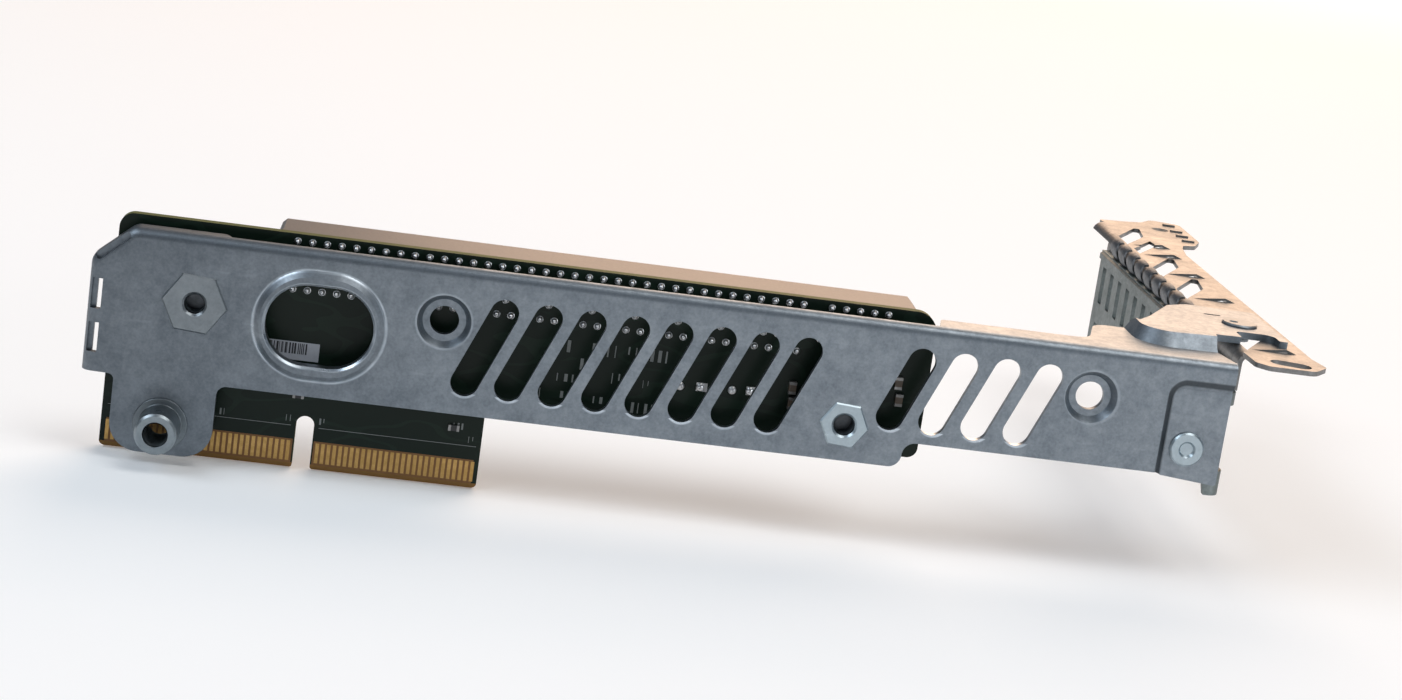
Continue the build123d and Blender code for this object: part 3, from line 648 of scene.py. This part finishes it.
class Palette:
    """All finishes of the part, each made once."""

    FINISHES: ClassVar[tuple[Finish, ...]] = (
        PressedFinish("zinc_pressed", (0.165, 0.192, 0.22), (0.302, 0.34, 0.375), 0.42),
        SeatedFinish("zinc_collar", (0.2, 0.23, 0.25), (0.3, 0.34, 0.365), 0.36, Grain.SATIN),
        MetalFinish("zinc_flange", (0.14, 0.141, 0.141), (0.275, 0.272, 0.266), 0.42, Grain.ROLLED),
        MetalFinish("zinc_panel", (0.13, 0.155, 0.155), (0.24, 0.27, 0.268), 0.5),
        # Painted light: a brighter copy of zinc_steel for fittings where more light falls.
        MetalFinish("zinc_steel_lit", (0.34, 0.41, 0.45), (0.48, 0.56, 0.605), 0.37, Grain.SATIN),
        MetalFinish("zinc_steel", (0.165, 0.188, 0.205), (0.275, 0.305, 0.325), 0.37, Grain.SATIN),
        # Painted shade: screw ends deep in their bores, dark to stand for the bores' shade.
        MetalFinish("screw_steel_shaded", (0.05, 0.055, 0.06), (0.12, 0.13, 0.14), 0.38, Grain.SATIN),
        MetalFinish("rivet_steel", (0.16, 0.18, 0.2), (0.29, 0.32, 0.34), 0.45, Grain.SATIN),
        MetalFinish("spring_steel", (0.085, 0.092, 0.1), (0.2, 0.21, 0.222), 0.5, Grain.SPRUNG),
        MetalFinish("gold", (0.35, 0.205, 0.062), (0.6, 0.375, 0.14), 0.36, Grain.PLATED),
        MetalFinish("solder", (0.52, 0.53, 0.54), (0.8, 0.81, 0.82), 0.3, Grain.TINNED),
        MetalFinish("tin_ends", (0.2, 0.2, 0.195), (0.34, 0.335, 0.33), 0.45, Grain.TINNED),
        MaskFinish(
            "board_green", (0.0045, 0.0105, 0.0068), (0.0095, 0.022, 0.014), (0.12, 0.13, 0.035)
        ),
        PlasticFinish("slot_plastic", (0.06, 0.053, 0.05), (0.1, 0.09, 0.084), 0.42),
        PlasticFinish("chip_tan", (0.085, 0.062, 0.045), (0.15, 0.115, 0.085), 0.5),
        PlasticFinish("chip_black", (0.012, 0.012, 0.013), (0.03, 0.03, 0.032), 0.45),
        PrintFinish("laminate", (0.16, 0.07, 0.018), (0.22, 0.1, 0.028), 0.55),
        PrintFinish("label_white", (0.41, 0.43, 0.47), (0.48, 0.5, 0.54), 0.55),
        PrintFinish("silk_print", (0.15, 0.165, 0.16), (0.24, 0.255, 0.25), 0.6),
        PrintFinish("ink_print", (0.02, 0.02, 0.022), (0.05, 0.05, 0.055), 0.6),
    )

    def __init__(self) -> None:
        """Sort the finishes by name; none is made yet."""
        self.finishes = {finish.name: finish for finish in self.FINISHES}
        self.made: dict[str, bpy.types.Material] = {}

    def get(self, name: str) -> bpy.types.Material:
        """The material of a finish, made at its first use.

        Args:
            name: the finish's name.

        Returns:
            The material.
        """
        if name not in self.made:
            self.made[name] = self.finishes[name].build()
        return self.made[name]


@dataclass
class Workshop:
    """Shared helpers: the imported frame, the palette and the mesh makers."""

    frame: dict[str, Any]
    palette: Palette

    def add(
        self, name: str, points: np.ndarray, faces: Faces, finish: str, slot: str = ""
    ) -> bpy.types.Object:
        """Make a piece from points and faces.

        Args:
            name: piece name.
            points: rows of x, y, z in millimetres.
            faces: point numbers of each face.
            finish: palette name.
            slot: not used.

        Returns:
            The new object, riding on the body.
        """
        mesh = bpy.data.meshes.new(name)
        mesh.from_pydata((np.asarray(points, float) * MM).tolist(), [], [list(f) for f in faces])
        mesh.validate()
        return self.adopt(name, mesh, finish)

    def adopt(self, name: str, mesh: bpy.types.Mesh, finish: str) -> bpy.types.Object:
        """Link a mesh as a piece of the part, with its finish and smooth shading by angle.

        Args:
            name: piece name.
            mesh: the piece's mesh.
            finish: palette name.

        Returns:
            The new object, riding on the body.
        """
        obj = bpy.data.objects.new(name, mesh)
        bpy.context.scene.collection.objects.link(obj)
        mesh.materials.clear()
        mesh.materials.append(self.palette.get(finish))
        for polygon in mesh.polygons:
            polygon.use_smooth = True
            polygon.material_index = 0
        mesh.set_sharp_from_angle(angle=SHARP_ANGLE)
        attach(obj, BODY)
        log.info("piece %s: %d faces", name, len(mesh.polygons))
        return obj

    def redress(self, node: str, finish: str, bevel: float = 0.0, slot: str = "") -> None:
        """Stand a welded, smoothly shaded copy in for a solid, with softened edges.

        Args:
            node: name of the solid.
            finish: palette name.
            bevel: edge softening in millimetres, nought for none.
            slot: not used.
        """
        mesh = self.frame["nodes"][node].data.copy()
        mesh.name = node + "_skin"
        bm = bmesh.new()
        bm.from_mesh(mesh)
        bmesh.ops.remove_doubles(bm, verts=bm.verts, dist=WELD)
        bmesh.ops.dissolve_limit(bm, angle_limit=FLAT_ANGLE, verts=bm.verts, edges=bm.edges)
        bm.to_mesh(mesh)
        bm.free()
        for layer in ("custom_normal", "sharp_face"):
            if layer in mesh.attributes:
                mesh.attributes.remove(mesh.attributes[layer])
        obj = self.adopt(node + "_skin", mesh, finish)
        if bevel:
            edge = obj.modifiers.new("soft_edges", "BEVEL")
            edge.width = bevel * MM
            edge.segments = BEVEL_STEPS
            edge.limit_method = "ANGLE"
            edge.angle_limit = BEVEL_ANGLE
            edge.harden_normals = True
        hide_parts(node)

    def paint(self, node: str, finish: str) -> None:
        """Give a solid that stays as it is its finish.

        Args:
            node: name of the solid.
            finish: palette name.
        """
        solid = self.frame["nodes"][node]
        if not solid.material_slots:
            solid.data.materials.append(None)
        for slot in solid.material_slots:
            slot.material = self.palette.get(finish)


def ring_quads(rows: int, ring: int) -> np.ndarray:
    """Quads between neighbouring closed rings of points.

    Point number = row * ring + place, and the place after the last one is the first.

    Args:
        rows: number of rings.
        ring: points in a ring.

    Returns:
        Point numbers of each quad.
    """
    a, b = np.meshgrid(np.arange(rows - 1), np.arange(ring), indexing="ij")
    after = (b + 1) % ring
    corners = [a * ring + b, a * ring + after, (a + 1) * ring + after, (a + 1) * ring + b]
    return np.stack(corners, -1).reshape(-1, 4)


def repeated(faces: np.ndarray, count: int, step: int) -> np.ndarray:
    """Faces of so many copies of a shape, each copy's points numbered a step further on."""
    return (np.arange(count)[:, None, None] * step + faces[None]).reshape(-1, faces.shape[1])


def turned(profile: np.ndarray, places: np.ndarray, segments: int) -> tuple[np.ndarray, Faces]:
    """Turn a profile round the y axis at many places at once.

    Point = place + (radius * cos(angle), depth, radius * sin(angle)), for each place,
    each profile row (radius, depth) and each of the evenly spaced angles.

    Args:
        profile: rows of radius and depth, from the outside to the middle.
        places: rows of x, y, z.
        segments: angles in a full turn.

    Returns:
        Points and faces.
    """
    angle = np.arange(segments) * 2 * np.pi / segments
    radius, depth = profile[:, :1], profile[:, 1:]
    shape = np.stack([radius * np.cos(angle), depth + 0 * angle, radius * np.sin(angle)], -1)
    points = (places[:, None, None, :] + shape[None]).reshape(-1, 3)
    rows = len(profile)
    faces = repeated(ring_quads(rows, segments), len(places), rows * segments)
    return points, faces.tolist()


def boxes(lows: np.ndarray, highs: np.ndarray) -> tuple[np.ndarray, Faces]:
    """Many plain boxes; each corner takes its x, y and z from the low or the high row.

    Args:
        lows: lowest corner of each box.
        highs: highest corner of each box.

    Returns:
        Points and faces.
    """
    pick = np.array([[i & 1, i >> 1 & 1, i >> 2 & 1] for i in range(8)])
    points = np.where(pick[None] == 0, lows[:, None, :], highs[:, None, :]).reshape(-1, 3)
    quads = np.array(
        [[0, 2, 3, 1], [4, 5, 7, 6], [0, 1, 5, 4], [2, 6, 7, 3], [0, 4, 6, 2], [1, 3, 7, 5]]
    )
    return points, repeated(quads, len(lows), 8).tolist()


def plates(x: Sequence[Any], y: Sequence[Any], z: Sequence[Any]) -> tuple[np.ndarray, Faces]:
    """Boxes from pairs of ends, each end one number or a number for each box.

    Args:
        x: left and right ends.
        y: near and far ends.
        z: lower and upper ends.

    Returns:
        Points and faces.
    """
    ends = np.broadcast_arrays(*(np.atleast_1d(end) for pair in (x, y, z) for end in pair))
    return boxes(np.stack(ends[0::2], -1), np.stack(ends[1::2], -1))


@dataclass(frozen=True)
class Bore:
    """A threaded bore along y: its middle, its radius and the thread's two ends."""

    x: float
    z: float
    radius: float
    near: float
    far: float


@dataclass
class SideSheet:
    """The folded side sheet and its clinched and riveted fittings."""

    shop: Workshop
    bores: tuple[Bore, ...] = (
        Bore(-16.28, 22.68, 1.4, -5.6, -3.5),
        Bore(73.69, 16.8, 1.5, -5.6, -3.5),
        Bore(-19.25, 5.4, 1.7, -10.9, -5.0),
    )
    thread_pitch: float = 0.55
    thread_depth: float = 0.17
    thread_gap: float = 0.01
    thread_segments: int = 28
    rows_per_turn: int = 6

    def thread(self, index: int, bore: Bore) -> None:
        """Screw thread inside a bore.

        Radius = bore - depth * saw(along / pitch + angle / turn), where saw rises and falls between
        nought and one, on a grid of angle and distance along y.

        Args:
            index: number for the name.
            bore: the bore that it lines.
        """
        rows = int((bore.far - bore.near) / self.thread_pitch * self.rows_per_turn)
        along = np.linspace(bore.near, bore.far, rows)[:, None]
        angle = (np.arange(self.thread_segments) * 2 * np.pi / self.thread_segments)[None]
        phase = (along / self.thread_pitch + angle / (2 * np.pi)) % 1.0
        radius = bore.radius - self.thread_gap - self.thread_depth * (1 - np.abs(2 * phase - 1))
        x, z = bore.x + radius * np.cos(angle), bore.z + radius * np.sin(angle)
        points = np.stack([x, along + 0 * angle, z], -1)
        faces = ring_quads(rows, self.thread_segments)[:, [0, 3, 2, 1]]
        self.shop.add(f"thread_{index}", points.reshape(-1, 3), faces.tolist(), "zinc_steel")

    def build(self) -> None:
        """Dress the sheet, its fasteners and the threads."""
        self.shop.redress("side_bracket", "zinc_pressed", 0.2, "zinc_sheet")
        self.shop.redress("left_hex_standoff", "zinc_steel", 0.06)
        # Painted light: the right standoff and the side rivet take the lit copy of zinc_steel.
        self.shop.redress("right_hex_standoff", "zinc_steel_lit", 0.06, "zinc_steel")
        self.shop.redress("guide_standoff", "zinc_collar", 0.12, "zinc_steel")
        self.shop.redress("side_rivet", "zinc_steel_lit", 0.05, "zinc_steel")
        self.shop.redress("top_rivet", "rivet_steel", 0.3, "zinc_steel")
        # Painted shade: the screws take a dark steel for the shade inside their bores.
        self.shop.redress("board_screws", "screw_steel_shaded", 0.05, "zinc_steel")
        for index, bore in enumerate(self.bores):
            self.thread(index, bore)


@dataclass(frozen=True)
class Mark:
    """A printed row of strokes: left end, middle height, number of strokes and their height."""

    x: float
    z: float
    count: int
    tall: float


@dataclass(frozen=True)
class Chip:
    """Small chips of one size, upright or lying, at their middles (x, z)."""

    long: float
    thick: float
    wide: float
    upright: bool
    spots: tuple[tuple[float, float], ...]


@dataclass
class Board:
    """The plug-in board with its pads, solder joints, printed lines and small parts."""

    shop: Workshop
    front: float = -0.785
    back: float = 0.785
    first: float = -3.75
    places: tuple[range, range] = (range(71), range(73, 84))
    rows: tuple[float, float] = (3.35, 1.25)
    slot_z: float = 28.65
    joint_profile: tuple[tuple[float, float], ...] = (
        (0.5, 0.0), (0.5, -0.03), (0.44, -0.05), (0.42, -0.18), (0.38, -0.38),
        (0.32, -0.57), (0.23, -0.73), (0.12, -0.82), (0.0, -0.85),
    )
    joint_segments: int = 12
    dot_spots: tuple[tuple[float, float], ...] = (
        (50.8, 18.3), (53.6, 18.5), (58.1, 18.6), (60.6, 18.8),
    )
    dot_profile: tuple[tuple[float, float], ...] = (
        (0.62, 0.0), (0.58, -0.14), (0.42, -0.3), (0.2, -0.39), (0.0, -0.41),
    )
    dot_segments: int = 16
    pad_ends: tuple[float, float] = (-0.55, 1.0)
    pad_half: float = 0.62
    pad_thick: float = 0.03
    print_thick: float = 0.015
    line_left: tuple[float, float] = (-27.0, 1.9)
    line_right: tuple[float, float] = (-1.9, 23.8)
    line_z: tuple[float, float] = (6.05, 6.13)
    marks: tuple[Mark, ...] = (
        Mark(32.4, 22.0, 3, 1.7), Mark(38.0, 22.0, 4, 1.7), Mark(43.0, 22.1, 6, 1.7),
        Mark(36.6, 19.7, 3, 1.6), Mark(33.6, 17.2, 4, 1.7), Mark(29.6, 14.9, 3, 1.5),
        Mark(34.4, 14.8, 4, 1.5), Mark(39.0, 14.6, 2, 1.5), Mark(44.4, 14.4, 5, 1.5),
        Mark(41.2, 18.2, 3, 1.5), Mark(45.6, 17.9, 2, 1.1), Mark(-11.8, 6.9, 2, 0.9),
        Mark(-2.7, 7.1, 2, 0.9), Mark(1.9, 7.05, 2, 0.9), Mark(20.3, 8.75, 3, 0.9),
        Mark(22.6, 7.0, 2, 0.9),
    )
    mark_pitch: float = 0.62
    mark_widths: tuple[float, ...] = (0.09, 0.13, 0.28)
    mark_lifts: tuple[float, ...] = (0.0, 0.0, 0.35)
    mark_seed: int = 11
    bare_left: tuple[float, float] = (-27.0, 1.45)
    bare_right: tuple[float, float] = (-1.45, 23.7)
    bare_z: tuple[float, float] = (0.75, 4.15)
    bare_thick: float = 0.012
    chips: tuple[Chip, ...] = (
        Chip(1.7, 0.8, 1.0, True, ((66.4, 20.1), (66.6, 17.9), (81.1, 22.6), (81.5, 20.2))),
        Chip(1.5, 0.45, 0.8, False, ((20.4, 8.5), (-1.35, 10.5))),
    )
    end_share: float = 0.24
    end_proud: float = 0.02
    bar_x: tuple[float, float] = (-11.4, -1.1)
    bar_z: tuple[float, float] = (16.25, 17.8)
    bar_widths: tuple[float, ...] = (0.08, 0.14, 0.22)
    bar_gaps: tuple[float, ...] = (0.1, 0.17)
    bar_tries: int = 40
    bar_seed: int = 5
    label_thick: float = 0.095

    def joints(self) -> None:
        """Solder joints: a flat pad ring and a domed cone of solder over the pin."""
        spots = [
            (self.first + number, self.front, self.slot_z + sign * self.rows[number % 2])
            for numbers in self.places
            for number in numbers
            for sign in (1, -1)
        ]
        profile = np.array(self.joint_profile)
        points, faces = turned(profile, np.array(spots), self.joint_segments)
        joint = self.shop.add("solder_joints_skin", points, faces, "solder")
        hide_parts("solder_joints")

    def dots(self) -> None:
        """Bright test points below the slot, every other one on a flat pad."""
        places = np.array([(x, self.front, z) for x, z in self.dot_spots])
        points, faces = turned(np.array(self.dot_profile), places, self.dot_segments)
        self.shop.add("test_points", points, faces, "solder")
        x, z = np.array(self.dot_spots[1::2]).T
        points, faces = plates(
            (x + self.pad_ends[0], x + self.pad_ends[1]),
            (self.front - self.pad_thick, self.front),
            (z - self.pad_half, z + self.pad_half),
        )
        self.shop.add("test_pads", points, faces, "solder")

    def silk(self) -> None:
        """Printed line above the plug, and rows of plain upright strokes where print would be."""
        depth = (self.front - self.print_thick, self.front)
        points, faces = plates((self.line_left, self.line_right), depth, self.line_z)
        self.shop.add("silk_lines", points, faces, "silk_print", "label_white")
        rng = np.random.default_rng(self.mark_seed)
        for index, mark in enumerate(self.marks):
            left = mark.x + np.arange(mark.count) * self.mark_pitch * mark.tall
            wide = rng.choice(self.mark_widths, mark.count) * mark.tall
            foot = mark.z - mark.tall / 2 + rng.choice(self.mark_lifts, mark.count) * mark.tall
            points, faces = plates((left, left + wide), depth, (foot, mark.z + mark.tall / 2))
            self.shop.add(f"silk_marks_{index}", points, faces, "silk_print", "label_white")

    def laminate(self) -> None:
        """Bare brown laminate between and round the gold pads."""
        for name, near, far in (
            ("front", self.front - self.bare_thick, self.front),
            ("back", self.back, self.back + self.bare_thick),
        ):
            points, faces = plates((self.bare_left, self.bare_right), (near, far), self.bare_z)
            self.shop.add(f"laminate_{name}", points, faces, "laminate", "board_green")

    def chip_ends(self) -> None:
        """Bright metal ends wrapped round each small chip, a little proud of its body."""
        lows, highs = [], []
        for chip in self.chips:
            axis = 1 if chip.upright else 0
            half = np.array((chip.long / 2, chip.wide / 2))
            if chip.upright:
                half = half[::-1]
            for spot in np.array(chip.spots):
                for end in (-1, 1):
                    low, high = spot - half - self.end_proud, spot + half + self.end_proud
                    if end > 0:
                        low[axis] = high[axis] - chip.long * self.end_share
                    else:
                        high[axis] = low[axis] + chip.long * self.end_share
                    lows.append((low[0], self.front - chip.thick - self.end_proud, low[1]))
                    highs.append((high[0], self.front, high[1]))
        points, faces = boxes(np.array(lows), np.array(highs))
        self.shop.add("chip_ends", points, faces, "tin_ends", "solder")

    def label_bars(self) -> None:
        """Plain bars of uneven width on the paper label."""
        rng = np.random.default_rng(self.bar_seed)
        widths = rng.choice(self.bar_widths, self.bar_tries)
        gaps = rng.choice(self.bar_gaps, self.bar_tries)
        left = self.bar_x[0] + np.cumsum(widths + gaps)
        keep = left < self.bar_x[1]
        near = self.front - self.label_thick
        points, faces = plates(
            (left[keep], left[keep] + widths[keep]), (near, near + self.print_thick), self.bar_z
        )
        self.shop.add("label_bars", points, faces, "ink_print", "label_white")

    def build(self) -> None:
        """Dress the board and everything soldered or printed on it."""
        self.shop.redress("riser_board", "board_green")
        self.shop.paint("front_fingers", "gold")
        self.shop.paint("back_fingers", "gold")
        self.shop.paint("board_label", "label_white")
        self.shop.paint("capacitors", "chip_tan")
        self.shop.paint("resistors", "chip_black")
        self.joints()
        self.dots()
        self.silk()
        self.laminate()
        self.chip_ends()
        self.label_bars()


@dataclass
class CardSlot:
    """The keyed card slot behind the board."""

    shop: Workshop

    def build(self) -> None:
        """Dress the housing and its contacts."""
        self.shop.redress("slot_housing", "slot_plastic", 0.08)
        self.shop.paint("slot_contacts_upper", "gold")
        self.shop.paint("slot_contacts_lower", "gold")


@dataclass
class RearBracket:
    """The rear sheet, its perforated inner panel and the spring contact strip."""

    shop: Workshop
    curl_x: float = 128.9
    curl_z: float = 32.3
    curl_turn: tuple[float, float] = (249.0, 104.0)
    radius: float = 1.7
    thick: float = 0.3
    turns: int = 15
    rows: int = 9
    swell: float = 0.3
    swell_end: float = 0.94
    swell_base: float = -0.2
    wave: float = 0.1
    waves: float = 3.2
    waist: float = 0.07
    waists: float = 4.0
    first: float = 25.7
    pitch: float = 6.0
    count: int = 9
    wide: float = 4.4
    band_x: tuple[float, float] = (128.35, 128.65)
    band_z: tuple[float, float] = (30.5, 31.2)
    band_start: float = -0.5
    band_end: float = -1.1

    def curl(self) -> np.ndarray:
        """Points of one finger, a ring of outline points for each step across its width.

        Outline point = centre + r * (cos a, sin a), where a runs through the curl's turn on the
        outside and back on the inside, and r swells in the middle of the width and twice along
        the curl. The width narrows a little between the curl's ends.

        Returns:
            Rows of rings of x, y, z.
        """
        angle = np.radians(np.linspace(*self.curl_turn, self.turns))
        across = np.linspace(-1, 1, self.rows)
        swell = self.swell * np.sqrt(1 - self.swell_end * across**2)[:, None] + self.swell_base
        outer = self.radius + (swell + self.wave * np.sin(self.waves * angle)[None])
        inner = outer - self.thick
        r = np.concatenate([outer, inner[:, ::-1]], 1)
        a = np.concatenate([angle, angle[::-1]])[None]
        width = (self.wide / 2) * (1 - self.waist + self.waist * np.cos(self.waists * a))
        y = self.wide / 2 + across[:, None] * width
        return np.stack([self.curl_x + r * np.cos(a), y, self.curl_z + r * np.sin(a)], -1)

    def fingers(self) -> None:
        """Row of curled spring fingers on their band, one curl repeated at the fingers' pitch."""
        starts = self.first + np.arange(self.count) * self.pitch
        shifts = np.stack([0 * starts, starts, 0 * starts], -1)[:, None, None]
        points = (self.curl()[None] + shifts).reshape(-1, 3)
        ring = 2 * self.turns
        k = np.arange(self.turns - 1)
        cap = np.stack([k, ring - 1 - k, ring - 2 - k, k + 1], -1)
        other_cap = (cap + (self.rows - 1) * ring)[:, ::-1]
        solid = np.concatenate([ring_quads(self.rows, ring), cap, other_cap])
        faces = repeated(solid, self.count, self.rows * ring)
        far = self.first + self.count * self.pitch
        band, band_faces = plates(
            self.band_x, (self.first + self.band_start, far + self.band_end), self.band_z
        )
        joined = faces.tolist() + (np.array(band_faces) + len(points)).tolist()
        points = np.concatenate([points, band])
        piece = self.shop.add("contact_strip_skin", points, joined, "spring_steel")
        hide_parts("contact_strip")

    def build(self) -> None:
        """Dress the rear sheets and the strip."""
        self.shop.redress("rear_bracket", "zinc_flange", 0.22, "zinc_sheet")
        self.shop.redress("vent_panel", "zinc_panel", 0.08, "zinc_sheet")
        self.fingers()


@dataclass(frozen=True)
class Lamp:
    """A soft rectangular light: place, aim, size in metres, power in watts and colour."""

    name: str
    place: Triple
    aim: Triple
    size: tuple[float, float]
    power: float
    colour: Triple


@dataclass
class Studio:
    """Floor, soft lights and the camera at the photograph's viewpoint."""

    CENTRE: ClassVar[Triple] = (0.05, 0.03, 0.02)
    RIGHT_PART: ClassVar[Triple] = (0.1, 0.0, 0.02)
    PAPER_TONE: ClassVar[Noise] = Noise(3.0, 2.0)

    width_px: float = 1402.0
    focal_px: float = 2740.308
    sensor: float = 36.0
    clip: tuple[float, float] = (0.01, 50.0)
    position: Triple = (14.697, -369.860, 108.233)
    right: Triple = (0.98745178, -0.070029, 0.14154478)
    down: Triple = (0.1217335, -0.2334179, -0.96472641)
    forward: Triple = (0.10059791, 0.96985155, -0.22196404)
    sky: Triple = (0.8, 0.88, 1.0)
    sky_strength: float = 0.2
    floor_half: float = 6.0
    floor_z: float = -0.0002
    paper: tuple[Triple, Triple] = ((0.82, 0.845, 0.865), (0.84, 0.865, 0.885))
    glow: tuple[float, float] = (0.14, 0.85)
    glow_reach: tuple[float, float] = (0.9, 2.3)
    lamps: tuple[Lamp, ...] = (
        Lamp("window", (-0.82, -0.32, 1.0), CENTRE, (1.15, 0.5), 7.5, (0.84, 0.92, 1.0)),
        Lamp("sky_panel", (0.58, -0.3, 1.35), CENTRE, (0.8, 0.8), 7.0, (1.0, 0.98, 0.95)),
        Lamp("warm_top", (0.42, 1.1, 1.1), CENTRE, (1.1, 0.9), 9.0, (1.0, 0.8, 0.65)),
        Lamp("warm_back", (0.95, 2.5, 0.8), CENTRE, (2.1, 1.4), 28.0, (1.0, 0.66, 0.43)),
        Lamp("right_fill", (1.2, -1.15, 0.32), RIGHT_PART, (0.8, 0.55), 5.6, (0.92, 0.96, 1.0)),
    )

    def camera(self) -> None:
        """Camera whose axes are the measured right, down and forward directions."""
        data = bpy.data.cameras.new("camera")
        data.sensor_fit = "HORIZONTAL"
        data.sensor_width = self.sensor
        data.lens = self.sensor * self.focal_px / self.width_px
        data.clip_start, data.clip_end = self.clip
        cam = bpy.data.objects.new("camera", data)
        bpy.context.scene.collection.objects.link(cam)
        up, backward = ([-part for part in axis] for axis in (self.down, self.forward))
        turn = Matrix((self.right, up, backward)).transposed()
        cam.matrix_world = Matrix.Translation(Vector(self.position) * MM) @ turn.to_4x4()
        bpy.context.scene.camera = cam

    def floor(self) -> None:
        """Pale matt floor under the part, which glows to white with distance when it is seen."""
        half = self.floor_half
        mesh = bpy.data.meshes.new("floor")
        corners = [(-half, -half, 0), (half, -half, 0), (half, half, 0), (-half, half, 0)]
        mesh.from_pydata(corners, [], [(0, 1, 2, 3)])
        floor = bpy.data.objects.new("floor", mesh)
        floor.location.z = self.floor_z
        bpy.context.scene.collection.objects.link(floor)
        n = Nodes("floor_paper")
        tone = n.noise(self.PAPER_TONE)
        path = n.make("ShaderNodeLightPath", {}, {}).socket.node
        rays = ("Is Camera Ray", "Is Glossy Ray", "Is Transmission Ray")
        camera, glossy, through = (Expr(n, path.outputs[ray]) for ray in rays)
        seen = (camera + glossy + through).clamp()
        x, y, _ = n.axes()
        distance = ((x * x + y * y) ** 0.5).smooth(*self.glow_reach)
        near_glow, far_glow = ((level,) * 3 for level in self.glow)
        glow = n.blend(distance, near_glow, far_glow)
        mesh.materials.append(n.finish({
            "Base Color": n.blend(tone, *self.paper),
            "Roughness": 0.9,
            "Emission Color": n.blend(seen, (0.0, 0.0, 0.0), glow),
            "Emission Strength": 1.0,
        }))
        floor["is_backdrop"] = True

    def light(self, lamp: Lamp) -> None:
        """Hang one lamp, turned to face its aim and hidden from the camera.

        Args:
            lamp: the lamp's place, size, power and colour.
        """
        data = bpy.data.lights.new(lamp.name, "AREA")
        data.shape = "RECTANGLE"
        data.size, data.size_y = lamp.size
        data.energy = lamp.power
        data.color = lamp.colour
        obj = bpy.data.objects.new(lamp.name, data)
        bpy.context.scene.collection.objects.link(obj)
        obj.location = lamp.place
        obj.rotation_mode = "QUATERNION"
        obj.rotation_quaternion = (Vector(lamp.aim) - Vector(lamp.place)).to_track_quat("-Z", "Y")
        obj.visible_camera = False

    def build(self) -> None:
        """Set the stage."""
        scene = bpy.context.scene
        scene.view_settings.view_transform = "Standard"
        world = bpy.data.worlds.new("room")
        scene.world = world
        world.use_nodes = True
        back = world.node_tree.nodes["Background"]
        back.inputs["Color"].default_value = (*self.sky, 1.0)
        back.inputs["Strength"].default_value = self.sky_strength
        self.floor()
        for lamp in self.lamps:
            self.light(lamp)
        self.camera()


def corners() -> list[list[float]]:
    """The shown object's box as plain lists."""
    return [list(corner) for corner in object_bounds()]


def main() -> None:
    """Build every sub-assembly in order."""
    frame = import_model()
    shop = Workshop(frame, Palette())
    for assembly in (SideSheet(shop), Board(shop), CardSlot(shop), RearBracket(shop)):
        assembly.build()
        log.info("built %s", type(assembly).__name__)
    Studio().build()


if __name__ == "__main__":
    main()
